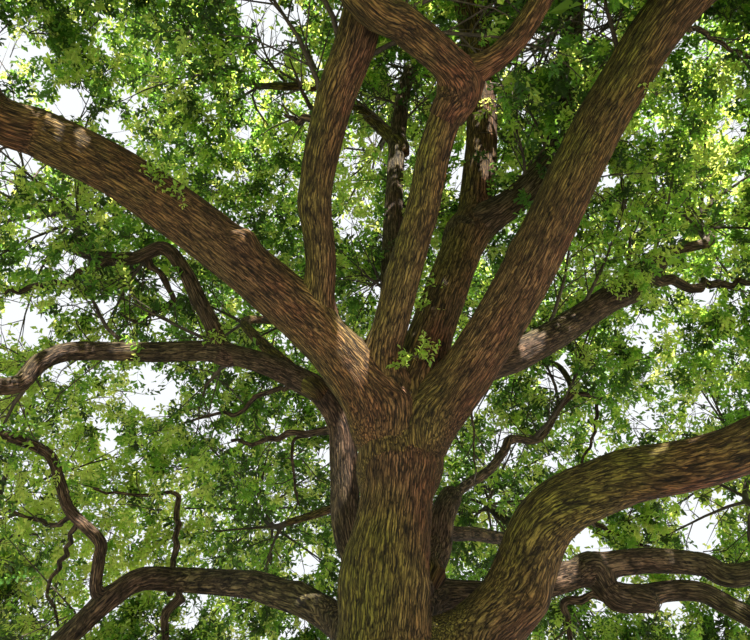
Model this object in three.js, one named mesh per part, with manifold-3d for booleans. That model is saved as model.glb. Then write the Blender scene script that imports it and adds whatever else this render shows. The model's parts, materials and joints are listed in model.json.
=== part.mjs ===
// A broad old oak: a short bole with a root flare, a leader, boughs in two tiers and a wide crown.
// Lengths are in millimetres and angles in degrees, +Z is up, and the origin is the middle of the
// flat cut at the foot. A bearing turns from +X through +Y, and a rise is an angle above the level.

import * as THREE from "three";
import { mergeVertices } from "three/addons/utils/BufferGeometryUtils.js";
import Module from "manifold-3d";

const wasm = await Module();
wasm.setup();

// Trunk sizes
const TRUNK_HEIGHT = 3640;
const BOLE_RADIUS = 470;
const BOLE_TOP = 1500;
const LEADER_RADIUS = 282;
const LEADER_FOOT = 2250;
const FORK_SWELL = 55;
const FORK_SWELL_START = 3150;
const FLARE = 300;
const FLARE_HEIGHT = 380;
const ROOT_RIDGES = 6;
const ROOT_RIDGE_SHARE = 0.12;
const ROOT_RIDGE_TURN = 0.6;
const TRUNK_LEAN_START = 1900;
const TRUNK_LEAN = 150;
const TRUNK_SIDES = 18;
const TRUNK_RINGS = 12;
const RING_CROWDING = 1.25;

// Limb rule
const TAPER_POWER = 1.5;
const COLLAR = 0.22;
const COLLAR_REACH = 1.4;
const MAIN_SIDES = 8;
const THIN_SIDES = 6;
const THIN_RADIUS = 110;
const RINGS_PER_LEG = 1.15;
const LAST_STRETCH_BOW = 0.18;
const GAP = 0.35;

// Crown rule: rings of leaf masses, each a ball that keeps to its own space
const RINGS_OF_MASSES = [
  { name: "low_leaves", count: 10, first: 0, out: 6250, height: 4650, radius: 2350 },
  { name: "middle_leaves", count: 8, first: 22.5, out: 5350, height: 7900, radius: 2450 },
  { name: "upper_leaves", count: 6, first: 30, out: 3350, height: 10900, radius: 2350 },
  { name: "top_leaves", count: 1, first: 0, out: 550, height: 13100, radius: 2300 },
];
const OUT_WANDER = 350;
const HEIGHT_WANDER = 260;
const CROWN_SEED = 7;
const FIRST_MASS_SEED = 11;
const SPACE_MARGIN = 35;
const ENTRY_SHARE = 0.82;
const ENTRY_STEP = 0.04;
const ENTRY_LEAST = 0.2;
const ENTRY_MARGIN = 140;
const LIMB_CLEARANCE = 45;
const LIMB_BALL_STEP = 70;

// Twig and spray sizes inside a mass
const BRANCHES = 5;
const BRANCH_REACH = 0.6;
const BRANCH_ARCH = 0.06;
const BRANCH_SAMPLES = 9;
const FIRST_BRANCH_PLACE = 0.35;
const BRANCH_PLACES = 0.55;
const STEM_REACH = 0.45;
const STEM_STRAIGHT = 0.2;
const STEM_LIFT = 0.5;
const STEM_SHARE = 0.92;
const STEM_RINGS = 6;
const STEM_TIP_RADIUS = 26;
const BRANCH_RADIUS = 42;
const BRANCH_TIP_RADIUS = 28;
const SPRAY_LENGTH = 1750;
const SPRAY_WIDTH = 1080;
const SPRAY_THICKNESS = 64;
const SIDE_SINK = 16;
const TIP_SINK = 25;
const SPRAY_SIZES = [1, 0.85, 0.7, 0.55, 0.42];
const SIDE_SPRAY_PLACE = 0.6;
const SIDE_SPRAY_TURN = 64;
const SPRAY_TILT = 1.1;
const GOLDEN_ANGLE = 137.508;

// Limbs. From the trunk, "at" is a height; from a bough, it counts the parent's legs.
// Each leg is [length, bearing, rise]. A limb with a mass goes on from its legs to that mass.
const LIMBS = [
  { name: "left_high_bough", from: "trunk", at: 3500, radius: 217, tip: 125, mass: "middle_leaves_5",
    legs: [[900, 215, 48], [980, 215, 30], [960, 208, 27], [790, 209, 14], [330, 213, 1]] },
  { name: "right_high_bough", from: "trunk", at: 3430, radius: 214, tip: 172, mass: "middle_leaves_8",
    legs: [[670, 338, 46], [960, 319, 45], [1290, 306, 44], [1120, 305, 34]] },
  { name: "leader_bough", from: "trunk", at: 3560, radius: 210, tip: 140, mass: "top_leaves_1",
    legs: [[940, 358, 74], [1450, 22, 70], [570, 21, 72], [1350, 327, 82], [1580, 260, 79]] },
  { name: "centre_bough", from: "trunk", at: 3600, radius: 150, tip: 103,
    legs: [[620, 247, 58], [420, 284, 42], [790, 288, 36], [530, 282, 28], [450, 290, 27]] },
  { name: "right_middle_bough", from: "trunk", at: 3560, radius: 150, tip: 132,
    legs: [[950, 14, 47], [510, 17, 29], [520, 16, 33], [610, 14, 37], [690, 9, 37],
      [460, 6, 44]] },
  { name: "right_low_bough", from: "trunk", at: 1650, radius: 242, tip: 90, mass: "low_leaves_10",
    legs: [[1150, 10, 39], [680, 325, 54], [600, 322, 17], [890, 315, 1]] },
  { name: "left_low_bough", from: "trunk", at: 1900, radius: 120, tip: 64, mass: "low_leaves_5",
    legs: [[780, 128, 36], [770, 145, 21], [370, 138, 13], [500, 141, 9], [250, 170, 4],
      [350, 206, -5], [330, 204, -39], [310, 176, -45], [370, 173, -39], [690, 156, -5],
      [830, 158, 20]] },
  { name: "right_back_low_bough", from: "trunk", at: 1950, radius: 122, tip: 88, mass: "low_leaves_1",
    legs: [[880, 57, 37], [680, 26, 8], [650, 23, 15], [410, 7, 17], [470, 3, 7], [430, 355, -5],
      [350, 340, -18]] },
  { name: "left_middle_bough", from: "trunk", at: 2050, radius: 131, tip: 58, mass: "low_leaves_7",
    legs: [[1050, 101, 39], [430, 192, 71], [460, 253, 75], [400, 256, 72], [310, 213, 53],
      [280, 177, 35], [430, 173, 28], [470, 182, 14], [600, 188, -5], [630, 201, -11],
      [320, 221, -39], [390, 223, -53]] },
  { name: "back_middle_bough", from: "trunk", at: 2130, radius: 126, tip: 105,
    legs: [[1080, 60, 39], [380, 37, 72], [300, 50, 53]] },
  { name: "back_high_bough", from: "trunk", at: 3600, radius: 115, tip: 66, mass: "upper_leaves_2",
    legs: [[1600, 96, 78], [1600, 80, 80], [1980, 43, 84], [700, 20, 78]] },
  { name: "low_back_limb", from: "trunk", at: 2200, radius: 72, tip: 52, mass: "low_leaves_3",
    legs: [[1140, 63, 42], [730, 55, 18], [1010, 57, 10]] },
  { name: "left_riser", from: "left_high_bough", at: 1.25, radius: 116, tip: 150, mass: "upper_leaves_5",
    legs: [[560, 275, 45], [470, 264, 32], [270, 281, 25], [440, 287, 26], [280, 293, 35],
      [270, 301, 39]] },
  { name: "right_back_bough", from: "leader_bough", at: 2.05, radius: 152, tip: 72,
    mass: "upper_leaves_1",
    legs: [[430, 351, 36], [470, 348, 40], [540, 342, 53], [700, 326, 71], [990, 352, 77],
      [1050, 338, 79]] },
  { name: "centre_left_bough", from: "centre_bough", at: 5, radius: 120, tip: 85, mass: "middle_leaves_6",
    legs: [[520, 223, 7], [460, 221, -4]] },
  { name: "centre_right_bough", from: "centre_bough", at: 5, radius: 90, tip: 62, mass: "middle_leaves_7",
    legs: [[350, 340, 27], [450, 322, 44]] },
  { name: "right_middle_fork", from: "right_middle_bough", at: 5.6, radius: 62, tip: 45,
    mass: "middle_leaves_1",
    legs: [[500, 17, 42], [560, 11, 22]] },
  { name: "left_middle_riser", from: "left_middle_bough", at: 7.85, radius: 80, tip: 55,
    mass: "middle_leaves_4",
    legs: [[300, 220, 58], [260, 212, 54], [380, 205, 58], [340, 190, 45], [400, 160, -3]] },
  { name: "left_low_riser", from: "left_low_bough", at: 6.74, radius: 55, tip: 42, mass: "low_leaves_6",
    legs: [[150, 214, 11], [260, 249, 78], [160, 239, 75], [430, 180, 39], [290, 199, 60],
      [310, 228, 49], [530, 215, 10]] },
  { name: "right_low_stub", from: "right_back_low_bough", at: 3.81, radius: 100, tip: 90,
    legs: [[250, 12, -54], [300, 346, -15]] },
  { name: "right_low_fork", from: "right_low_stub", at: 1.35, radius: 88, tip: 85,
    legs: [[420, 3, 8], [250, 344, -4], [210, 343, -31], [240, 334, -36]] },
  { name: "front_left_limb", from: "left_high_bough", at: 5.2, radius: 85, tip: 55, mass: "low_leaves_8" },
  { name: "front_right_limb", from: "right_low_bough", at: 4.3, radius: 98, tip: 60, mass: "low_leaves_9" },
  { name: "right_back_limb", from: "right_back_low_bough", at: 7.4, radius: 75, tip: 50,
    mass: "low_leaves_2" },
  { name: "left_back_limb", from: "back_middle_bough", at: 0.9, radius: 70, tip: 50, mass: "low_leaves_4" },
  { name: "back_right_limb", from: "back_middle_bough", at: 2.75, radius: 50, tip: 38,
    mass: "middle_leaves_2",
    legs: [[500, 56, 34], [490, 48, 31], [480, 48, 42], [250, 46, 47], [580, 42, 16],
      [630, 24, 51], [420, 32, 48]] },
  { name: "back_left_limb", from: "left_middle_bough", at: 5.7, radius: 65, tip: 50,
    mass: "middle_leaves_3" },
  { name: "upper_back_limb", from: "back_high_bough", at: 2.5, radius: 80, tip: 55,
    mass: "upper_leaves_3" },
  { name: "upper_left_limb", from: "left_riser", at: 6.3, radius: 84, tip: 55, mass: "upper_leaves_4" },
  { name: "upper_right_limb", from: "right_high_bough", at: 4.4, radius: 90, tip: 55,
    mass: "upper_leaves_6" },
];

// Materials
const BARK = new THREE.MeshStandardMaterial({ color: 0x5f4a33, roughness: 0.92, metalness: 0 });
const LEAF = new THREE.MeshStandardMaterial({ color: 0x5f8f22, roughness: 0.6, metalness: 0 });

// A seeded draw between 0 and 1
function makeRandom(seed) {
  let state = (seed * 2654435761) >>> 0;
  return () => {
    state = (Math.imul(state, 1664525) + 1013904223) >>> 0;
    return state / 4294967296;
  };
}

function heading(bearing, rise) {
  const b = THREE.MathUtils.degToRad(bearing);
  const r = THREE.MathUtils.degToRad(rise);
  return new THREE.Vector3(Math.cos(r) * Math.cos(b), Math.cos(r) * Math.sin(b), Math.sin(r));
}

function easeIn(low, high, value) {
  return THREE.MathUtils.smoothstep(value, low, high);
}

// The trunk's middle line and its girth at a height
function trunkMiddle(z) {
  return new THREE.Vector3(TRUNK_LEAN * easeIn(TRUNK_LEAN_START, TRUNK_HEIGHT, z), 0, z);
}

function trunkRadius(z, turn) {
  const narrow = easeIn(BOLE_TOP, LEADER_FOOT, z);
  const swell = FORK_SWELL * easeIn(FORK_SWELL_START, TRUNK_HEIGHT, z);
  const fade = Math.exp(-z / FLARE_HEIGHT);
  const ridge = 1 + ROOT_RIDGE_SHARE * fade * Math.cos(ROOT_RIDGES * turn + ROOT_RIDGE_TURN);
  return (THREE.MathUtils.lerp(BOLE_RADIUS, LEADER_RADIUS, narrow) + swell + FLARE * fade) * ridge;
}

// The trunk is a cylinder whose rings stay level, so its foot is a flat cut at the ground.
// Its sides run the cylinder's own way round, so its faces still point out.
function trunkGeometry(grow) {
  const geometry = new THREE.CylinderGeometry(1, 1, 1, TRUNK_SIDES, TRUNK_RINGS);
  const place = geometry.attributes.position;
  for (let i = 0; i < place.count; i += 1) {
    const share = place.getY(i) + 0.5;
    const x = -place.getX(i);
    const y = place.getZ(i);
    const z = TRUNK_HEIGHT * share ** RING_CROWDING;
    const reach = Math.hypot(x, y) * (trunkRadius(z, Math.atan2(y, x)) + grow);
    const turn = Math.atan2(y, x);
    const middle = trunkMiddle(z);
    const lift = share === 1 ? grow : 0;
    place.setXYZ(i, middle.x + reach * Math.cos(turn), middle.y + reach * Math.sin(turn), z + lift);
  }
  return geometry;
}

// Bends a closed cylinder along a curve: its rings are carried along without twisting, and
// radiusAt gives the radius for a share of the length.
function bentTube(curve, radiusAt, sides, rings, grow = 0) {
  const geometry = new THREE.CylinderGeometry(1, 1, 1, sides, rings);
  const frames = [];
  let normal = null;
  for (let k = 0; k <= rings; k += 1) {
    const share = k / rings;
    const middle = curve.getPoint(share);
    const along = curve.getTangent(share);
    if (normal === null) {
      const helper = Math.abs(along.z) < 0.8 ? new THREE.Vector3(0, 0, 1) : new THREE.Vector3(0, 1, 0);
      normal = new THREE.Vector3().crossVectors(along, helper).normalize();
    }
    normal = normal.clone().addScaledVector(along, -normal.dot(along)).normalize();
    if (k === 0) middle.addScaledVector(along, -grow);
    if (k === rings) middle.addScaledVector(along, grow);
    frames.push({ middle, normal, across: new THREE.Vector3().crossVectors(normal, along) });
  }
  const place = geometry.attributes.position;
  const point = new THREE.Vector3();
  for (let i = 0; i < place.count; i += 1) {
    const k = Math.round((place.getY(i) + 0.5) * rings);
    const { middle, normal: side, across } = frames[k];
    const radius = radiusAt(k / rings) + grow;
    point.copy(middle).addScaledVector(side, place.getX(i) * radius);
    point.addScaledVector(across, place.getZ(i) * radius);
    place.setXYZ(i, point.x, point.y, point.z);
  }
  return geometry;
}

// Closed meshes and solids
function toSolid(geometry) {
  const bare = geometry.clone();
  bare.deleteAttribute("normal");
  bare.deleteAttribute("uv");
  const merged = mergeVertices(bare, 1e-3);
  const vertProperties = new Float32Array(merged.attributes.position.array);
  const triVerts = new Uint32Array(merged.index.array);
  return new wasm.Manifold(new wasm.Mesh({ numProp: 3, vertProperties, triVerts }));
}

function toGeometry(solid) {
  const { vertProperties, triVerts } = solid.getMesh();
  const geometry = new THREE.BufferGeometry();
  geometry.setAttribute("position", new THREE.BufferAttribute(new Float32Array(vertProperties), 3));
  geometry.setIndex(new THREE.BufferAttribute(new Uint32Array(triVerts), 1));
  geometry.computeVertexNormals();
  return geometry;
}

// Keeps the largest body, which drops loose scraps and fills sealed hollows.
function largestBody(solid) {
  return solid.decompose().reduce((best, piece) => (piece.volume() > best.volume() ? piece : best));
}

// The masses' middles: even rings that wander a little by a seeded draw
function placeMasses() {
  const masses = [];
  const random = makeRandom(CROWN_SEED);
  for (const ring of RINGS_OF_MASSES) {
    for (let i = 0; i < ring.count; i += 1) {
      const bearing = ring.first + (360 * i) / ring.count;
      const out = ring.out + OUT_WANDER * (random() - 0.5) * (ring.count > 1 ? 2 : 0);
      const centre = heading(bearing, 0).multiplyScalar(out);
      centre.z = ring.height + HEIGHT_WANDER * (random() * 2 - 1);
      const seed = FIRST_MASS_SEED + masses.length;
      masses.push({ name: `${ring.name}_${i + 1}`, centre, radius: ring.radius, seed });
    }
  }
  return masses;
}

const masses = placeMasses();

// How far a point lies inside a mass's own space: its ball, cut off halfway to each neighbour
function depthInSpace(mass, point) {
  let depth = mass.radius - point.distanceTo(mass.centre);
  const own = point.distanceToSquared(mass.centre) - mass.radius ** 2;
  for (const other of masses) {
    if (other === mass) continue;
    const apart = 2 * mass.centre.distanceTo(other.centre);
    const theirs = point.distanceToSquared(other.centre) - other.radius ** 2;
    depth = Math.min(depth, (theirs - own) / apart);
  }
  return depth;
}

// The point where a bough that comes from a place enters a mass
function entryPoint(mass, from) {
  const away = from.clone().sub(mass.centre).normalize();
  let share = ENTRY_SHARE;
  const point = new THREE.Vector3();
  do {
    point.copy(mass.centre).addScaledVector(away, share * mass.radius);
    share -= ENTRY_STEP;
  } while (depthInSpace(mass, point) < ENTRY_MARGIN && share > ENTRY_LEAST);
  return point;
}

// A limb's knots: its legs from the parent, then a bowed last stretch to its mass
function limbCurve(limb, built) {
  const parent = built.get(limb.from);
  const onTrunk = limb.from === "trunk";
  const share = onTrunk ? 0 : limb.at / (parent.knots.length - 1);
  const start = onTrunk ? trunkMiddle(limb.at) : parent.curve.getPoint(share);
  const knots = [start];
  let last = onTrunk ? new THREE.Vector3(0, 0, 1) : parent.curve.getTangent(share);
  for (const [length, bearing, rise] of limb.legs ?? []) {
    last = heading(bearing, rise);
    knots.push(knots.at(-1).clone().addScaledVector(last, length));
  }
  if (limb.mass) {
    const mass = masses.find((m) => m.name === limb.mass);
    const from = knots.at(-1);
    const entry = entryPoint(mass, from);
    const bow = LAST_STRETCH_BOW * from.distanceTo(entry);
    knots.push(from.clone().lerp(entry, 0.5).addScaledVector(last, bow));
    knots.push(entry);
  }
  return { curve: new THREE.CatmullRomCurve3(knots, false, "catmullrom", 0.5), knots };
}

function limbRadius(limb, share, length) {
  const collar = COLLAR * limb.radius * Math.exp((-share * length) / (COLLAR_REACH * limb.radius));
  return THREE.MathUtils.lerp(limb.radius, limb.tip, share ** TAPER_POWER) + collar;
}

// Builds a limb and cuts it clear of all the limbs that came before it.
function growLimb(limb, built) {
  const { curve, knots } = limbCurve(limb, built);
  const length = curve.getLength();
  const sides = limb.radius > THIN_RADIUS ? MAIN_SIDES : THIN_SIDES;
  const rings = Math.ceil(RINGS_PER_LEG * (knots.length - 1));
  const radiusAt = (share) => limbRadius(limb, share, length);
  let solid = toSolid(bentTube(curve, radiusAt, sides, rings));
  for (const other of built.values()) {
    solid = solid.subtract(other.grown);
  }
  const grown = toSolid(bentTube(curve, radiusAt, sides, rings, GAP));
  built.set(limb.name, { curve, knots, length, radiusAt, grown, solid: largestBody(solid) });
}

function buildLimbs() {
  const built = new Map();
  built.set("trunk", { solid: toSolid(trunkGeometry(0)), grown: toSolid(trunkGeometry(GAP)) });
  for (const limb of LIMBS) growLimb(limb, built);
  return built;
}

const limbs = buildLimbs();

// Balls along every limb, used to keep twigs and sprays off the limbs
function limbBalls() {
  const balls = [];
  for (const { curve, length, radiusAt } of limbs.values()) {
    if (!curve) continue;
    const count = Math.ceil(length / LIMB_BALL_STEP);
    for (let i = 0; i <= count; i += 1) {
      balls.push({ middle: curve.getPoint(i / count), radius: radiusAt(i / count) });
    }
  }
  return balls;
}

const balls = limbBalls();

function clearOfLimbs(points) {
  return points.every((p) => balls.every(({ middle, radius }) =>
    p.distanceTo(middle) > radius + LIMB_CLEARANCE));
}

function insideSpace(mass, points) {
  return points.every((p) => depthInSpace(mass, p) > SPACE_MARGIN);
}

// A twig is a three-sided tube that tapers between two radii.
function twig(knots, base, tip, rings) {
  const curve = new THREE.CatmullRomCurve3(knots, false, "catmullrom", 0.5);
  return toSolid(bentTube(curve, (share) => THREE.MathUtils.lerp(base, tip, share), 3, rings));
}

// A spray of leaves is a flat eight-faced blade. Its root is sunk behind the place it grows from.
function sprayFrame(root, along, random) {
  const flat = new THREE.Vector3(random() - 0.5, random() - 0.5, 0).multiplyScalar(2 * SPRAY_TILT);
  flat.z = 1;
  const across = new THREE.Vector3().crossVectors(flat, along).normalize();
  const normal = new THREE.Vector3().crossVectors(along, across).normalize();
  return new THREE.Matrix4().makeBasis(along, across, normal).setPosition(root);
}

function sprayPoints(frame, size) {
  const points = [];
  for (const along of [0.25, 0.5, 0.75, 1]) {
    const wide = 0.5 * SPRAY_WIDTH * size * (along < 0.5 ? along / 0.5 : (1 - along) / 0.5);
    for (const side of [-1, -0.5, 0, 0.5, 1]) {
      points.push(new THREE.Vector3(along * SPRAY_LENGTH * size, side * wide, 0).applyMatrix4(frame));
    }
  }
  return points;
}

function spray(frame, size, sink) {
  const long = 0.5 * (SPRAY_LENGTH * size + sink);
  const geometry = new THREE.OctahedronGeometry(1, 0);
  geometry.scale(long, 0.5 * SPRAY_WIDTH * size, 0.5 * SPRAY_THICKNESS);
  geometry.translate(long - sink, 0, 0);
  geometry.applyMatrix4(frame);
  return toSolid(geometry);
}

// Adds the largest spray that keeps to the mass's space, off the limbs and off all but its own twig.
function addSpray(mass, pieces, own, root, along, sink, random) {
  const frame = sprayFrame(root, along, random);
  for (const size of SPRAY_SIZES) {
    const points = sprayPoints(frame, size);
    if (!insideSpace(mass, points) || !clearOfLimbs(points)) continue;
    const solid = spray(frame, size, sink);
    if (pieces.some((piece) => piece !== own && !piece.intersect(solid).isEmpty())) continue;
    pieces.push(solid);
    return;
  }
}

// Even directions round a mass, by the golden angle
function branchDirection(k, count, spin) {
  const height = 1 - (2 * k + 1) / count;
  return heading(spin + k * GOLDEN_ANGLE, THREE.MathUtils.radToDeg(Math.asin(height)));
}

function samples(from, to, count) {
  return Array.from({ length: count }, (_, i) => from.clone().lerp(to, (i + 1) / count));
}

// One branch from the stem towards a side of the mass, with a spray at its tip and one beside it
function addBranch(mass, pieces, stem, toward, random) {
  const lean = 0.5 + 0.5 * toward.dot(stem.getTangent(1));
  const root = stem.getPoint(FIRST_BRANCH_PLACE + BRANCH_PLACES * lean);
  const end = mass.centre.clone().addScaledVector(toward, BRANCH_REACH * mass.radius);
  const line = samples(root, end, BRANCH_SAMPLES);
  if (!insideSpace(mass, line) || !clearOfLimbs(line.slice(1))) return;
  const along = end.clone().sub(root).normalize();
  const bend = root.clone().lerp(end, 0.5);
  bend.z += BRANCH_ARCH * root.distanceTo(end);
  const branch = twig([root, bend, end], BRANCH_RADIUS, BRANCH_TIP_RADIUS, 2);
  pieces.push(branch);
  addSpray(mass, pieces, branch, end, along, TIP_SINK, random);
  const place = bend.clone().lerp(end, 2 * SIDE_SPRAY_PLACE - 1);
  const level = new THREE.Vector3().crossVectors(along, new THREE.Vector3(0, 0, 1)).normalize();
  const turn = THREE.MathUtils.degToRad(SIDE_SPRAY_TURN) * (random() < 0.5 ? 1 : -1);
  const turned = along.clone().multiplyScalar(Math.cos(turn)).addScaledVector(level, Math.sin(turn));
  addSpray(mass, pieces, branch, place, turned.normalize(), SIDE_SINK, random);
}

// A mass: one stem from its bough's tip through its middle, branches all round, sprays on them
function growMass(mass, limb) {
  const random = makeRandom(mass.seed);
  const tipRadius = limb.radiusAt(1);
  const along = limb.curve.getTangent(1);
  const foot = limb.curve.getPoint(1).addScaledVector(along, GAP);
  const second = foot.clone().addScaledVector(along, STEM_STRAIGHT * mass.radius);
  const beyond = mass.centre.clone().sub(foot).normalize();
  beyond.z += STEM_LIFT;
  const top = mass.centre.clone().addScaledVector(beyond.normalize(), STEM_REACH * mass.radius);
  const knots = [foot, second, mass.centre.clone(), top];
  const stem = new THREE.CatmullRomCurve3(knots, false, "catmullrom", 0.5);
  const pieces = [twig(knots, tipRadius * STEM_SHARE, STEM_TIP_RADIUS, STEM_RINGS)];
  addSpray(mass, pieces, pieces[0], top, stem.getTangent(1), TIP_SINK, random);
  const spin = 360 * random();
  for (let k = 0; k < BRANCHES; k += 1) {
    addBranch(mass, pieces, stem, branchDirection(k, BRANCHES, spin), random);
  }
  return largestBody(wasm.Manifold.union(pieces));
}

// The tree
function namedMesh(name, solid, material) {
  const mesh = new THREE.Mesh(toGeometry(solid), material.clone());
  mesh.name = name;
  return mesh;
}

function buildTree() {
  const tree = new THREE.Group();
  for (const [name, { solid }] of limbs) tree.add(namedMesh(name, solid, BARK));
  for (const mass of masses) {
    const { name } = LIMBS.find((limb) => limb.mass === mass.name);
    tree.add(namedMesh(mass.name, growMass(mass, limbs.get(name)), LEAF));
  }
  return tree;
}

export default buildTree();
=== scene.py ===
"""The looks of a broad old oak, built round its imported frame.

The limbs follow the frame's own rule: legs from a parent, then a bowed last stretch into a ball of
leaves. Here each limb is a tube with real bark relief, and each ball is filled with branches, twigs,
shoots and lobed leaves. Lengths are in metres and angles in degrees.
"""
import json
import math

import bpy
import numpy as np
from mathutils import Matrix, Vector

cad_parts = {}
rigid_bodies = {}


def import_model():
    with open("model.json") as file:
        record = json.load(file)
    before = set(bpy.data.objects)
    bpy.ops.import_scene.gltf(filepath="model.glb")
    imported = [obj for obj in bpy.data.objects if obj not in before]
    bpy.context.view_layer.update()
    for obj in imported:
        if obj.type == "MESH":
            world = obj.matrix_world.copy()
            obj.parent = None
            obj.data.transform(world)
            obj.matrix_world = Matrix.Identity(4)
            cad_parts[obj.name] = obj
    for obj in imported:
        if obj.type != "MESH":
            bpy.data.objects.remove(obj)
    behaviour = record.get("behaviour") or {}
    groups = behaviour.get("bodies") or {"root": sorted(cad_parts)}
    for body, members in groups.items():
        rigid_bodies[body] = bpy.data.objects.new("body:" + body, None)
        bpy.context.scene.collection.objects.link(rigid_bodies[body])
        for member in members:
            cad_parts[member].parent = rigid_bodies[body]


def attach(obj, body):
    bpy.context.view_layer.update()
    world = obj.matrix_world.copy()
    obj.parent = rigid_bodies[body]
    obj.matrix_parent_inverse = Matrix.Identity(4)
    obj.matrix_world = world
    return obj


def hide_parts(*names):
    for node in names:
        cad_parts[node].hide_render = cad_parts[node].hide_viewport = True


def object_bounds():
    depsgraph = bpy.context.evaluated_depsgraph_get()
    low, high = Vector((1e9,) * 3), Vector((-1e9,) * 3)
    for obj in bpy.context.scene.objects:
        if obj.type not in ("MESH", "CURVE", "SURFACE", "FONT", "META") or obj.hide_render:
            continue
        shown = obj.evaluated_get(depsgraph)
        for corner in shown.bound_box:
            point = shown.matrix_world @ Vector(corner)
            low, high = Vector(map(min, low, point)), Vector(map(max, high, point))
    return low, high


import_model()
CAD_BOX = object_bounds()

# The viewer
EYE = np.array([-0.05, -4.8, 1.6])
LOOK_UP = 33.0
LENS = 30.72
SENSOR = 36.0
SIGHT_END = 200

# Trunk sizes, as in the frame
TRUNK_HEIGHT = 3.64
BOLE_RADIUS = 0.47
BOLE_TOP = 1.5
LEADER_RADIUS = 0.282
LEADER_FOOT = 2.25
FORK_SWELL = 0.055
FORK_SWELL_START = 3.15
FLARE = 0.30
FLARE_HEIGHT = 0.38
ROOT_RIDGES = 6
ROOT_RIDGE_SHARE = 0.12
ROOT_RIDGE_TURN = 0.6
TRUNK_LEAN_START = 1.9
TRUNK_LEAN = 0.15
TOP_DRAWN_IN = 0.45
TOP_DRAWN_IN_START = 3.25

# Limb rule, as in the frame
TAPER_POWER = 1.5
COLLAR = 0.22
COLLAR_REACH = 1.4
LAST_STRETCH_BOW = 0.18

# Crown rule, as in the frame: name, count, first bearing, distance out, height, radius
RINGS_OF_MASSES = (
    ("low_leaves", 10, 0, 6.25, 4.65, 2.35),
    ("middle_leaves", 8, 22.5, 5.35, 7.9, 2.45),
    ("upper_leaves", 6, 30, 3.35, 10.9, 2.35),
    ("top_leaves", 1, 0, 0.55, 13.1, 2.3),
)
OUT_WANDER = 0.35
HEIGHT_WANDER = 0.26
CROWN_SEED = 7
FIRST_MASS_SEED = 11
ENTRY_SHARE = 0.82
ENTRY_STEP = 0.04
ENTRY_LEAST = 0.2
ENTRY_MARGIN = 0.14
STEM_REACH = 0.45
STEM_STRAIGHT = 0.2
STEM_LIFT = 0.5
STEM_SHARE = 0.92
GOLDEN_ANGLE = 137.508

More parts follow.
